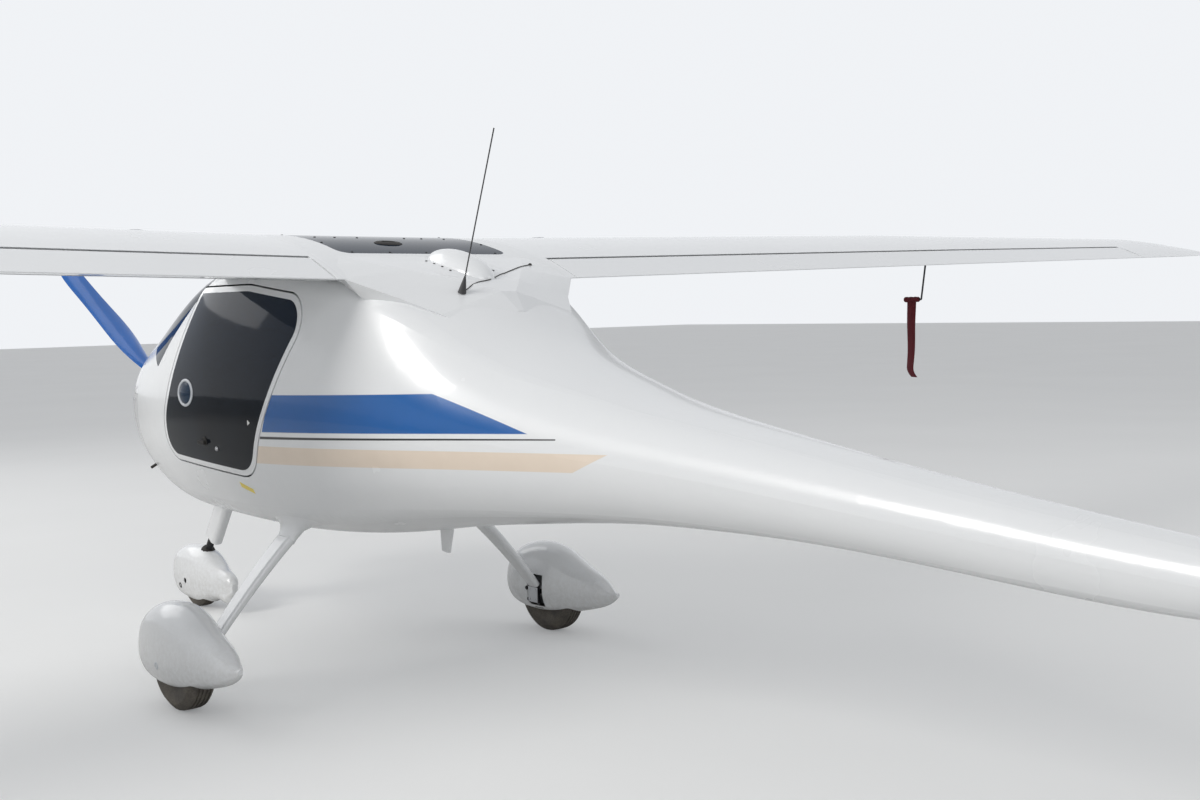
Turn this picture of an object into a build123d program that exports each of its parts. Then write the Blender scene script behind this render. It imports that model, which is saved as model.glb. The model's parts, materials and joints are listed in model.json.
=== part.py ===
from build123d import *
import math
import os

# High-wing ultralight aircraft for two, with a nose wheel and a T-tail.
# Millimetres and degrees. +X is the aircraft's left, -Y is forward, +Z is up.
# A station is a distance aft of the datum, a plane ahead of the spinner's tip.
# Heights are above the ground.

# Overall
SPINNER_TIP_STATION = 210.0
LENGTH = 6500.0
HALF_SPAN = 5500.0
TRACK = 1600.0
NOSE_WHEEL_STATION = 560.0
MAIN_WHEEL_STATION = 2100.0

# Gaps and walls
MOVING_GAP = 6.0
RUNNING_FIT = 0.05
CABIN_WALL = 22.0
COWL_WALL = 6.0
COWL_GAP = 2.0
FIREWALL = 4.0
BULKHEAD = 8.0
GLASS = 4.0
SPAT_WALL = 5.0

# Body splits
COWL_FRONT_STATION = 425.0
FIREWALL_STATION = 945.0
CABIN_REAR_STATION = 5780.0
BULKHEAD_STATION = 2860.0
BOOM_END_STATION = 6332.0
COWL_SPLIT_HEIGHT = 1000.0

# Propeller
THRUST_HEIGHT = 946.0
PROPELLER_DIAMETER = 1620.0
PROPELLER_STATION = 350.0
BLADE_REST_ANGLE = 38.7
SPINNER_RADIUS = 118.0
SPINNER_LENGTH = 200.0
SPINNER_WALL = 3.0
HUB_RADIUS = 62.0
HUB_FRONT = 45.0
SPINNER_PLATE = 5.0
BLADE_HOLE_GAP = 8.0
BLADE_ROOT_RADIUS = 30.0

# Engine, one plain mass on four mount tubes
ENGINE_WIDTH = 340.0
ENGINE_LENGTH = 350.0
ENGINE_HEIGHT = 280.0
ENGINE_FRONT_STATION = 555.0
ENGINE_BOTTOM = 780.0
GEARBOX_RADIUS = 60.0
MOUNT_TUBE_RADIUS = 12.0

# Wing
ROOT_X = 470.0
WING_BREAK_X = 3000.0
TIP_START_X = 5150.0
FLAPERON_START_X = 500.0
FLAPERON_END_X = 4700.0
HINGE_ROOT_STATION = 2490.0
HINGE_TIP_STATION = 2455.0
TIE_DOWN_X = 2900.0
TIE_DOWN_STATION = 2060.0
TIE_DOWN_RADIUS = 5.0
TIE_DOWN_DEPTH = 30.0

# Tail
FIN_TOP = 1775.0
RUDDER_HINGE_STATION = 6370.0
RUDDER_BOTTOM = 600.0
RUDDER_TOP = 1680.0
STABILISER_HALF_SPAN = 1090.0
STABILISER_HEIGHT = 1800.0
STABILISER_STATION = 6060.0
STABILISER_ROOT_CHORD = 560.0
STABILISER_TIP_CHORD = 430.0
ELEVATOR_SHARE = 0.36

# Wheels
MAIN_TYRE_RADIUS = 165.0
MAIN_TYRE_WIDTH = 105.0
MAIN_RIM_RADIUS = 78.0
NOSE_TYRE_RADIUS = 125.0
NOSE_TYRE_WIDTH = 88.0
NOSE_RIM_RADIUS = 52.0
AXLE_RADIUS = 10.0
RIM_SHARE = 0.40

# Nose gear: the steering axis leans forward going down and passes ahead of the axle
STEER_RAKE = 36.0
STEER_OFFSET = 15.0
STRUT_RADIUS = 16.0

# Body sections. Each row is station, top, bottom, waist height, half width at the waist,
# upper corner radius, upper fill, lower corner radius and lower fill.
BODY = (
    (COWL_FRONT_STATION, 1075.0, 838.0, 958.0, 138.0, 70.0, 0.77, 70.0, 0.77),
    (455.0, 1108.0, 770.0, 955.0, 186.0, 90.0, 0.77, 90.0, 0.77),
    (530.0, 1152.0, 690.0, 950.0, 246.0, 115.0, 0.77, 115.0, 0.77),
    (700.0, 1216.0, 618.0, 945.0, 340.0, 140.0, 0.78, 135.0, 0.77),
    (950.0, 1300.0, 552.0, 945.0, 430.0, 160.0, 0.78, 165.0, 0.77),
    (1300.0, 1434.0, 515.0, 955.0, 510.0, 160.0, 0.80, 190.0, 0.80),
    (1650.0, 1560.0, 503.0, 965.0, 545.0, 150.0, 0.82, 200.0, 0.80),
    (2050.0, 1577.0, 508.0, 970.0, 552.0, 140.0, 0.83, 200.0, 0.81),
    (2450.0, 1508.0, 545.0, 970.0, 525.0, 110.0, 0.85, 190.0, 0.80),
    (2750.0, 1432.0, 592.0, 960.0, 466.0, 100.0, 0.82, 170.0, 0.78),
    (3050.0, 1252.0, 630.0, 935.0, 386.0, 110.0, 0.77, 150.0, 0.77),
    (3400.0, 1110.0, 668.0, 900.0, 303.0, 110.0, 0.77, 120.0, 0.77),
    (3600.0, 1052.0, 684.0, 884.0, 263.0, 103.0, 0.77, 107.0, 0.77),
    (3850.0, 1003.0, 693.0, 862.0, 220.0, 94.0, 0.77, 92.0, 0.77),
    (4250.0, 941.0, 694.0, 822.0, 166.0, 80.0, 0.77, 78.0, 0.77),
    (4700.0, 877.0, 669.0, 776.0, 122.0, 66.0, 0.77, 64.0, 0.77),
    (5200.0, 815.0, 648.0, 734.0, 92.0, 52.0, 0.77, 50.0, 0.77),
    (5780.0, 764.0, 634.0, 701.0, 66.0, 42.0, 0.77, 41.0, 0.77),
    (BOOM_END_STATION, 730.0, 628.0, 680.0, 45.0, 31.0, 0.77, 31.0, 0.77),
)


def along(station):
    """The Y coordinate of a station. Y is 0 halfway along the aircraft."""
    return station - SPINNER_TIP_STATION - LENGTH / 2


def polar(centre, radius, angle):
    return (centre[0] + radius * math.cos(angle), centre[1] + radius * math.sin(angle))


def arc_about(centre, radius, start, end):
    """A plane arc as its start, middle and end points."""
    return (
        polar(centre, radius, start),
        polar(centre, radius, (start + end) / 2),
        polar(centre, radius, end),
    )


def quarter(half, height, corner, fill):
    """Crown, corner and side arcs, each tangent to the next, of one quarter of an oval."""
    corner_centre = ((half - corner) * fill, (height - corner) * fill)
    crown_rise = height - corner - corner_centre[1]
    side_rise = half - corner - corner_centre[0]
    crown = corner + (corner_centre[0] ** 2 + crown_rise**2) / (2 * crown_rise)
    side = corner + (corner_centre[1] ** 2 + side_rise**2) / (2 * side_rise)
    crown_centre = (0.0, height - crown)
    side_centre = (half - side, 0.0)
    upper = math.atan2(corner_centre[1] - crown_centre[1], corner_centre[0])
    lower = math.atan2(corner_centre[1], corner_centre[0] - side_centre[0])
    return (
        arc_about(crown_centre, crown, math.pi / 2, upper),
        arc_about(corner_centre, corner, upper, lower),
        arc_about(side_centre, side, lower, 0.0),
    )


def oval_wire(half, up, down, upper_corner, upper_fill, lower_corner, lower_fill, place):
    """A closed section of ten arcs. place turns a point across and up from the waist into space."""
    above = quarter(half, up, upper_corner, upper_fill)
    below = quarter(half, down, lower_corner, lower_fill)

    def edge(points, side, rise):
        return ThreePointArc(*[place(side * across, rise * height) for across, height in points])

    def span(points, rise):
        tip = points[2]
        ends = [place(side * tip[0], rise * tip[1]) for side in (-1, 1)]
        return ThreePointArc(ends[0], place(0, rise * points[0][1]), ends[1])

    edges = [span(above[0], 1)]
    edges += [edge(above[1], 1, 1), edge(above[2], 1, 1)]
    edges += [edge(below[2], 1, -1), edge(below[1], 1, -1)]
    edges += [span(below[0], -1)]
    edges += [edge(below[1], -1, -1), edge(below[2], -1, -1)]
    edges += [edge(above[2], -1, 1), edge(above[1], -1, 1)]
    return Wire(edges)


def body_wire(row, inset):
    station, top, bottom, waist, half, upper_corner, upper_fill, lower_corner, lower_fill = row

    def place(across, height):
        return (across, along(station), waist + height)

    return oval_wire(
        half - inset,
        top - waist - inset,
        waist - bottom - inset,
        upper_corner - inset,
        upper_fill,
        lower_corner - inset,
        lower_fill,
        place,
    )


def body(inset):
    return Solid.make_loft([body_wire(row, inset) for row in BODY])


def slab(low, high):
    """A box from its lowest to its highest corner."""
    size = [high[axis] - low[axis] for axis in range(3)]
    middle = [(high[axis] + low[axis]) / 2 for axis in range(3)]
    return Pos(*middle) * Box(*size)


def stations(start, end, half=2000.0, low=-100.0, high=2500.0):
    """A wide box between two stations, to split the body with."""
    return slab((-half, along(start), low), (half, along(end), high))


def side_prism(points, x_from, x_to):
    """A side-view outline as a prism across X. Points are station, height and corner radius."""
    corners = [(x_from, along(station), height) for station, height, _ in points]
    radii = [radius for _, _, radius in points]
    outline = Wire(FilletPolyline(*corners, radius=radii, close=True).edges())
    return Solid.extrude(Face(outline), Vector(x_to - x_from, 0, 0))


def split_faces(shape):
    """The curved faces of a solid, and its first and last plane faces along Y."""
    curved = [face for face in shape.faces() if face.geom_type != GeomType.PLANE]
    plane = shape.faces().filter_by(GeomType.PLANE).sort_by(Axis.Y)
    return curved, plane[0], plane[-1]


def open_shell(outer, inner):
    """A hollow length of body, open at both ends, from its outer and inner solids."""
    outer_side, outer_front, outer_rear = split_faces(outer)
    inner_side, inner_front, inner_rear = split_faces(inner)
    rings = [
        Face(outer_front.outer_wire(), [inner_front.outer_wire()]),
        Face(outer_rear.outer_wire(), [inner_rear.outer_wire()]),
    ]
    return Solid(Shell(outer_side + inner_side + rings))


def pocketed(outer, inner):
    """A body with a cavity that opens at its front face only and ends at a flat wall."""
    outer_side, outer_front, outer_rear = split_faces(outer)
    inner_side, inner_front, inner_rear = split_faces(inner)
    ring = Face(outer_front.outer_wire(), [inner_front.outer_wire()])
    return Solid(Shell(outer_side + inner_side + [ring, outer_rear, inner_rear]))


def mirrored(shape):
    return mirror(shape, about=Plane.YZ)


def largest(shape):
    return max(shape.solids(), key=lambda solid: solid.volume)


def topmost(shape):
    return shape.solids().sort_by(Axis.Z)[-1]


# Wing and tail sections: a nose arc, a front and a rear arc on each face, and a thin trailing edge.
NOSE_SHARE = 0.017
CREST_SHARE = 0.36
EDGE_SHARE = 0.0016


def foil_arcs(crest, nose):
    """Arcs of one face over unit chord: nose to crest, crest to trailing edge. Centres and radii."""
    front = (CREST_SHARE**2 + crest**2 - 2 * CREST_SHARE * nose) / (2 * (crest - nose))
    rear = ((1 - CREST_SHARE) ** 2 + (crest - EDGE_SHARE) ** 2) / (2 * (crest - EDGE_SHARE))
    return front, rear


def foil_height(crest, share):
    """Height of a face over the chord line, aft of the crest, per unit chord."""
    rear = foil_arcs(crest, NOSE_SHARE)[1]
    return crest - rear + math.sqrt(rear**2 - (share - CREST_SHARE) ** 2)


def rear_arc(crest, share_from, share_to, sign):
    rear = foil_arcs(crest, NOSE_SHARE)[1]
    middle = (share_from + share_to) / 2
    return [
        (share, sign * (crest - rear + math.sqrt(rear**2 - (share - CREST_SHARE) ** 2)))
        for share in (share_from, middle, share_to)
    ]


def front_arcs(upper, lower):
    """Front arc of the upper face, nose arc and front arc of the lower face, in order."""
    result = []
    ends = []
    for crest, sign in ((upper, 1), (lower, -1)):
        front = foil_arcs(crest, NOSE_SHARE)[0]
        centre = (CREST_SHARE, crest - front)
        touch = math.atan2(-centre[1], NOSE_SHARE - centre[0])
        points = arc_about(centre, front, math.pi / 2, touch)
        ends.append((points[2][0], sign * points[2][1]))
        result.append([(across, sign * height) for across, height in points])
    nose = [ends[0], (0.0, 0.0), ends[1]]
    return [result[0], nose, result[1][::-1]]


def cove_cut(crest, hinge, hinge_height, reach, sign):
    """Share of chord where the cove circle of a hinge meets a face, searched by halving."""
    near = CREST_SHARE
    far = hinge
    for _ in range(60):
        middle = (near + far) / 2
        height = sign * foil_height(crest, middle)
        apart = math.hypot(middle - hinge, height - hinge_height)
        if apart > reach:
            near = middle
        else:
            far = middle
    return near


def foil_wire(chord, upper, lower, place, hinge=None, cove=None):
    """A closed foil section. With a hinge (share, height share) it ends in a concave cove."""
    front = front_arcs(upper, lower)
    edges = []

    def add(points):
        edges.append(ThreePointArc(*[place(share * chord, height * chord) for share, height in points]))

    if hinge is None:
        add(rear_arc(upper, 1.0, CREST_SHARE, 1))
        for points in front:
            add(points)
        add(rear_arc(lower, CREST_SHARE, 1.0, -1))
        edges.append(
            Line(place(chord, -EDGE_SHARE * chord), place(chord, EDGE_SHARE * chord))
        )
        return Wire(edges)
    reach = cove / chord
    top = cove_cut(upper, hinge[0], hinge[1], reach, 1)
    base = cove_cut(lower, hinge[0], hinge[1], reach, -1)
    add(rear_arc(upper, top, CREST_SHARE, 1))
    for points in front:
        add(points)
    add(rear_arc(lower, CREST_SHARE, base, -1))
    low = (base, -foil_height(lower, base))
    high = (top, foil_height(upper, top))
    add([low, (hinge[0] - reach, hinge[1]), high])
    return Wire(edges)


def flap_wire(hinge, nose, tail, edge, place):
    """A control surface's section: round nose about the hinge, flat faces to a thin edge."""
    reach = tail[0] - hinge[0]
    sides = []
    for sign in (1, -1):
        target = (tail[0], tail[1] + sign * edge)
        span = math.hypot(target[0] - hinge[0], target[1] - hinge[1])
        bearing = math.atan2(target[1] - hinge[1], reach)
        angle = bearing + sign * math.acos(nose / span)
        sides.append((polar(hinge, nose, angle), target, angle))
    (top, top_edge, start), (base, base_edge, end) = sides
    middle = polar(hinge, nose, (start + end + 2 * math.pi) / 2)
    return Wire(
        [
            ThreePointArc(place(*top), place(*middle), place(*base)),
            Line(place(*base), place(*base_edge)),
            Line(place(*base_edge), place(*top_edge)),
            Line(place(*top_edge), place(*top)),
        ]
    )


# Wing panels. Each row is distance from the middle, leading-edge station, chord,
# trailing-edge height, upper crest and lower crest per unit chord.
WING = (
    (ROOT_X, 1707.0, 950.0, 1422.0, 0.132, 0.027),
    (WING_BREAK_X, 1712.0, 918.0, 1482.0, 0.128, 0.025),
    (TIP_START_X, 1906.0, 705.0, 1530.0, 0.122, 0.023),
)
WING_TIP = (
    WING[-1],
    (5330.0, 1962.0, 640.0, 1535.0, 0.116, 0.022),
    (5440.0, 2050.0, 540.0, 1541.0, 0.104, 0.021),
    (HALF_SPAN, 2190.0, 385.0, 1553.0, 0.078, 0.020),
)
WING_INCIDENCE = 4.4


def wing_row(x):
    """The wing's row at a distance from the middle, between the stated panels."""
    for inner, outer in zip(WING, WING[1:]):
        if x <= outer[0]:
            share = (x - inner[0]) / (outer[0] - inner[0])
            return tuple(a + (b - a) * share for a, b in zip(inner, outer))
    return WING[-1]


def wing_place(row):
    """Turns chordwise and upward distances from the leading edge into space at a wing row."""
    x, station, chord, edge_height = row[:4]
    pitch = math.radians(WING_INCIDENCE)

    def place(back, up):
        drop = (chord - back) * math.sin(pitch)
        return (
            x,
            along(station) + back * math.cos(pitch) + up * math.sin(pitch) + chord * (1 - math.cos(pitch)),
            edge_height + drop + up * math.cos(pitch),
        )

    return place


def hinge_station(x):
    share = (x - ROOT_X) / (TIP_START_X - ROOT_X)
    return HINGE_ROOT_STATION + (HINGE_TIP_STATION - HINGE_ROOT_STATION) * share


def flaperon_hinge(row):
    """Hinge point (share, height share) and half thickness there, of a wing row."""
    x, station, chord, _, upper, lower = row
    share = (hinge_station(x) - station) / chord
    top = foil_height(upper, share)
    base = foil_height(lower, share)
    return (share, (top - base) / 2), (top + base) / 2 * chord


def plain_wing(x_rows):
    return [foil_wire(row[2], row[4], row[5], wing_place(row)) for row in x_rows]


def wing_underside(x, station):
    """Height of the wing's lower face, aft of its crest."""
    row = wing_row(x)
    share = (station - row[1]) / row[2]
    return wing_place(row)(share * row[2], -foil_height(row[5], share) * row[2])[2]


def wing_solid(outer):
    root_rows = [wing_row(ROOT_X), wing_row(FLAPERON_START_X - MOVING_GAP)]
    coved_rows = [
        wing_row(FLAPERON_START_X - MOVING_GAP),
        wing_row(WING_BREAK_X),
        wing_row(FLAPERON_END_X + MOVING_GAP),
    ]
    outer_rows = [wing_row(FLAPERON_END_X + MOVING_GAP), wing_row(TIP_START_X)]
    root = Solid.make_loft(plain_wing(root_rows), True)
    wires = []
    for row in coved_rows:
        hinge, half_thickness = flaperon_hinge(row)
        wires.append(
            foil_wire(row[2], row[4], row[5], wing_place(row), hinge, half_thickness + MOVING_GAP)
        )
    middle = Solid.make_loft(wires, True)
    end = Solid.make_loft(plain_wing(outer_rows), True)
    tip = Solid.make_loft(plain_wing(WING_TIP))
    mouth = (TIE_DOWN_X, along(TIE_DOWN_STATION), wing_underside(TIE_DOWN_X, TIE_DOWN_STATION))
    tie_down = Pos(*mouth) * Cylinder(TIE_DOWN_RADIUS, 2 * TIE_DOWN_DEPTH)
    return largest(root - outer) + middle + end + tip - tie_down


def flaperon_solid():
    wires = []
    for x in (FLAPERON_START_X, WING_BREAK_X, FLAPERON_END_X):
        row = wing_row(x)
        hinge, half_thickness = flaperon_hinge(row)
        chord = row[2]
        wires.append(
            flap_wire(
                (hinge[0] * chord, hinge[1] * chord),
                half_thickness - 1.0,
                (chord, 0.0),
                EDGE_SHARE * chord,
                wing_place(row),
            )
        )
    return Solid.make_loft(wires, True)


def hinge_point(x):
    row = wing_row(x)
    hinge, _ = flaperon_hinge(row)
    return wing_place(row)(hinge[0] * row[2], hinge[1] * row[2])


# Cabin openings in side view: station, height, corner radius
DOOR_OUTLINE = (
    (1398.0, 774.0, 95.0),
    (1402.0, 935.0, 250.0),
    (1622.0, 1425.0, 15.0),
    (2030.0, 1425.0, 400.0),
    (2486.0, 1370.0, 110.0),
    (2102.0, 743.0, 170.0),
)
DOOR_FRAME_WIDTH = 20.0
WINDSHIELD_OUTLINE = (
    (870.0, 1290.0, 15.0),
    (1290.0, 1120.0, 25.0),
    (1400.0, 1225.0, 120.0),
    (1640.0, 1400.0, 60.0),
    (1700.0, 1475.0, 15.0),
    (1700.0, 1700.0, 15.0),
    (860.0, 1700.0, 15.0),
)
ROOF_START = 1790.0
ROOF_END = 2446.0
ROOF_HALF = 350.0
ROOF_CORNER = 45.0
SIDE_CUT_FROM = 330.0
SIDE_CUT_TO = 700.0

# Fairing behind the wing's root, on the shell. Each row is a station, then across and height of
# the crease above and of the outer edge.
FAIRING = (
    (2480.0, 385.0, 1502.0, ROOT_X, 1494.0),
    (2560.0, 320.0, 1481.0, ROOT_X, 1467.0),
    (2657.0, 245.0, 1454.0, ROOT_X, 1422.0),
    (2793.0, 125.0, 1414.0, 338.0, 1352.0),
    (2895.0, 30.0, 1374.0, 266.0, 1303.0),
    (2960.0, 10.0, 1310.0, 190.0, 1262.0),
)
FAIRING_DEPTH = 60.0


def windshield_prism():
    return side_prism(WINDSHIELD_OUTLINE, -SIDE_CUT_TO, SIDE_CUT_TO)


def roof_prism():
    middle = Plane((0, along((ROOF_START + ROOF_END) / 2), 1400.0))
    plan = middle * RectangleRounded(2 * ROOF_HALF, ROOF_END - ROOF_START, ROOF_CORNER)
    return extrude(plan, amount=300.0)


def door_prism(inset):
    """The left door's outline as a prism, drawn in by an inset."""
    corners = [(along(station), height) for station, height, _ in DOOR_OUTLINE]
    radii = [radius for _, _, radius in DOOR_OUTLINE]
    outline = make_face(FilletPolyline(*corners, radius=radii, close=True))
    if inset:
        outline = offset(outline, amount=-inset)
    face = (Plane.YZ.offset(SIDE_CUT_FROM) * outline).face()
    return Solid.extrude(face, Vector(SIDE_CUT_TO - SIDE_CUT_FROM, 0, 0))


def wing_centre(half):
    """The wing's middle, from side to side over the cabin."""
    rows = [(x,) + WING[0][1:] for x in (-half, half)]
    return Solid.make_loft(plain_wing(rows), True)


def fairing_wire(row):
    station, crease, crease_height, edge, edge_height = row
    low = edge_height - FAIRING_DEPTH
    corners = (
        (0.0, crease_height),
        (crease, crease_height),
        (edge, edge_height),
        (edge - FAIRING_DEPTH, low),
        (0.0, low),
    )
    return Wire.make_polygon([Vector(x, along(station), z) for x, z in corners], close=True)


def root_fairing():
    return Solid.make_loft([fairing_wire(row) for row in FAIRING], True)


def band(outer, inset, prism):
    """The skin of the body inside a prism, from its outer face to an inset."""
    return largest((outer & prism) - (body(inset) & prism))


def roof_pane(centre, prism):
    """The roof window: the wing's upper face over the cabin, one pane thick."""
    return topmost((centre & prism) - Pos(0, 0, -GLASS) * centre)


def build_body(outer):
    outer_cut = outer & stations(FIREWALL_STATION, BOOM_END_STATION)
    cabin_cut = body(CABIN_WALL) & stations(FIREWALL_STATION, CABIN_REAR_STATION)
    shell = pocketed(outer_cut, cabin_cut)
    centre = wing_centre(ROOT_X)
    shell = shell + (centre - cabin_cut)
    fairing = root_fairing() - cabin_cut
    shell = shell + fairing + mirrored(fairing)
    door_hole = door_prism(0)
    shell = shell - door_hole - mirrored(door_hole)
    windshield = windshield_prism()
    roof = roof_prism()
    shell = largest(shell - windshield - roof)
    screen = band(outer, GLASS, windshield) - door_hole - mirrored(door_hole)

    pane = door_prism(MOVING_GAP + DOOR_FRAME_WIDTH)
    frame = band(outer, CABIN_WALL, door_prism(MOVING_GAP)) - pane
    firewall = cabin_cut & stations(FIREWALL_STATION, FIREWALL_STATION + FIREWALL)
    return {
        "fuselage_shell": shell,
        "firewall": firewall,
        "windshield": largest(screen),
        "roof_window": roof_pane(centre, roof),
        "left_door_frame": largest(frame),
        "left_door_pane": band(outer, GLASS, pane),
    }


def build_cowls(outer):
    ends = stations(COWL_FRONT_STATION, FIREWALL_STATION - COWL_GAP)
    cowl = open_shell(outer & ends, body(COWL_WALL) & ends) - windshield_prism()
    upper = cowl & slab((-700, along(0), COWL_SPLIT_HEIGHT + COWL_GAP / 2), (700, along(1200), 1500))
    lower = cowl & slab((-700, along(0), 300), (700, along(1200), COWL_SPLIT_HEIGHT - COWL_GAP / 2))
    return {"upper_cowl": largest(upper), "lower_cowl": largest(lower)}


# Propeller blade sections: share of the tip radius, chord, thickness share and pitch
BLADE = (
    (0.16, 62.0, 0.60, 48.0),
    (0.30, 112.0, 0.24, 36.0),
    (0.55, 120.0, 0.14, 24.0),
    (0.80, 96.0, 0.11, 17.0),
    (0.96, 62.0, 0.10, 13.0),
    (1.00, 30.0, 0.10, 12.0),
)


def blade_solid():
    """One blade along +Z from the thrust line, its sections two arcs each."""
    wires = []
    for share, chord, thickness, pitch in BLADE:
        turn = math.radians(pitch)
        height = share * PROPELLER_DIAMETER / 2

        def place(back, up):
            across = back * math.cos(turn) - up * math.sin(turn)
            aft = back * math.sin(turn) + up * math.cos(turn)
            return (across, aft, height)

        half = chord / 2
        crest = chord * thickness
        wires.append(
            Wire(
                [
                    ThreePointArc(place(-half, 0), place(0, crest * 0.65), place(half, 0)),
                    ThreePointArc(place(half, 0), place(0, -crest * 0.35), place(-half, 0)),
                ]
            )
        )
    blade = Solid.make_loft(wires)
    root = Pos(0, 0, HUB_RADIUS * 0.5) * Circle(BLADE_ROOT_RADIUS)
    shank = extrude(root, amount=PROPELLER_DIAMETER / 2 * 0.2)
    return blade + shank


def build_propeller():
    plate_front = SPINNER_TIP_STATION + SPINNER_LENGTH
    hub_start = PROPELLER_STATION - HUB_FRONT
    at_hub = Pos(0, along(PROPELLER_STATION), THRUST_HEIGHT) * Rot(0, BLADE_REST_ANGLE, 0)
    blade = at_hub * blade_solid()
    other = at_hub * Rot(0, 180, 0) * blade_solid()
    blades = round_bar(HUB_RADIUS, hub_start, plate_front) + blade + other

    def spinner_body(inset):
        base = SPINNER_RADIUS - inset
        tip = along(SPINNER_TIP_STATION + inset)
        rear = along(plate_front)
        bulge = (base * 0.78, tip + SPINNER_LENGTH * 0.42, 0)
        edges = [
            ThreePointArc((0, tip, 0), bulge, (base, rear, 0)),
            Line((base, rear, 0), (0, rear, 0)),
            Line((0, rear, 0), (0, tip, 0)),
        ]
        return Pos(0, 0, THRUST_HEIGHT) * revolve(Face(Wire(edges)), Axis.Y)

    plate = round_bar(SPINNER_RADIUS, plate_front, plate_front + SPINNER_PLATE)
    hole = at_hub * Cylinder(BLADE_ROOT_RADIUS + BLADE_HOLE_GAP, 3 * SPINNER_RADIUS)
    spinner = spinner_body(0) - spinner_body(SPINNER_WALL) - hole + plate
    return {"propeller": blades, "spinner": largest(spinner)}


def round_bar(radius, start, end):
    """A cylinder on the thrust line between two stations."""
    middle = Pos(0, along((start + end) / 2), THRUST_HEIGHT)
    return middle * Rot(90, 0, 0) * Cylinder(radius, end - start)


def build_engine():
    rear = ENGINE_FRONT_STATION + ENGINE_LENGTH
    top = ENGINE_BOTTOM + ENGINE_HEIGHT
    half = ENGINE_WIDTH / 2
    engine = slab((-half, along(ENGINE_FRONT_STATION), ENGINE_BOTTOM), (half, along(rear), top))
    shaft_start = SPINNER_TIP_STATION + SPINNER_LENGTH + SPINNER_PLATE + MOVING_GAP
    engine = engine + round_bar(GEARBOX_RADIUS, shaft_start, ENGINE_FRONT_STATION)
    tube_length = FIREWALL_STATION - rear
    for x in (-half + 2 * MOUNT_TUBE_RADIUS, half - 2 * MOUNT_TUBE_RADIUS):
        for z in (ENGINE_BOTTOM + 2 * MOUNT_TUBE_RADIUS, top - 2 * MOUNT_TUBE_RADIUS):
            middle = Pos(x, along(rear + tube_length / 2), z)
            engine = engine + middle * Rot(90, 0, 0) * Cylinder(MOUNT_TUBE_RADIUS, tube_length)
    return {"engine_block": engine}


# Wheel spat sections: station from the axle, top, bottom, waist height, half width,
# corner radius and fill, for the main spat
MAIN_SPAT = (
    (-244.0, 214.0, 176.0, 195.0, 20.0, 12.0, 0.77),
    (-236.0, 250.0, 140.0, 192.0, 45.0, 25.0, 0.77),
    (-205.0, 297.0, 106.0, 186.0, 70.0, 40.0, 0.77),
    (-138.0, 340.0, 80.0, 180.0, 87.0, 50.0, 0.77),
    (-30.0, 362.0, 72.0, 178.0, 93.0, 50.0, 0.78),
    (110.0, 336.0, 86.0, 178.0, 88.0, 45.0, 0.77),
    (240.0, 280.0, 115.0, 184.0, 65.0, 35.0, 0.77),
    (350.0, 226.0, 150.0, 190.0, 34.0, 20.0, 0.77),
    (403.0, 204.0, 186.0, 195.0, 9.0, 6.0, 0.77),
)
NOSE_SPAT = (
    (-204.0, 168.0, 132.0, 150.0, 16.0, 9.0, 0.77),
    (-194.0, 200.0, 98.0, 148.0, 38.0, 20.0, 0.77),
    (-160.0, 240.0, 56.0, 144.0, 58.0, 34.0, 0.77),
    (-84.0, 272.0, 30.0, 140.0, 74.0, 42.0, 0.78),
    (20.0, 280.0, 22.0, 140.0, 78.0, 42.0, 0.79),
    (120.0, 258.0, 32.0, 140.0, 70.0, 40.0, 0.78),
    (220.0, 206.0, 56.0, 132.0, 48.0, 30.0, 0.77),
    (330.0, 142.0, 102.0, 122.0, 14.0, 9.0, 0.77),
)
WHEEL_ROOM = 6.5


def spat_body(rows, x, axle_station, inset):
    wires = []
    for offset_station, top, bottom, waist, half, corner, fill in rows:

        def place(across, height):
            return (x + across, along(axle_station + offset_station), waist + height)

        wires.append(
            oval_wire(
                half - inset,
                top - waist - inset,
                waist - bottom - inset,
                corner - inset * 0.9,
                fill,
                corner - inset * 0.9,
                fill,
                place,
            )
        )
    return Solid.make_loft(wires)


def wheel_opening(x, axle_station, half_length, half_width, top):
    outline = RectangleRounded(2 * half_width, 2 * half_length, half_width * 0.6)
    return extrude(Plane((x, along(axle_station), 0)) * outline, amount=top)


def tyre_edges(radius, width, rim_radius):
    """Half section of a tyre: crown, shoulders and side walls down to the rim, about Y."""
    half = width / 2
    rise = (radius - rim_radius) * 0.52
    middle = radius - rise
    half_rim = width * RIM_SHARE
    crown, corner, side = quarter(half, rise, rise * 0.42, 0.78)
    depth = middle - rim_radius
    bow = half - half_rim
    wall = (depth**2 + bow**2) / (2 * bow)
    sweep = math.asin(depth / wall)
    lower = arc_about((half - wall, 0.0), wall, 0.0, -sweep)

    def edge(points, sign):
        return ThreePointArc(*[(middle + up, sign * across, 0) for across, up in points])

    tip = crown[2]
    crown_points = ((-tip[0], tip[1]), (0.0, rise), tip)
    edges = [edge(crown_points, 1)]
    for sign in (1, -1):
        edges += [edge(corner, sign), edge(side, sign), edge(lower, sign)]
    edges.append(Line((rim_radius, -half_rim, 0), (rim_radius, half_rim, 0)))
    return edges


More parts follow.
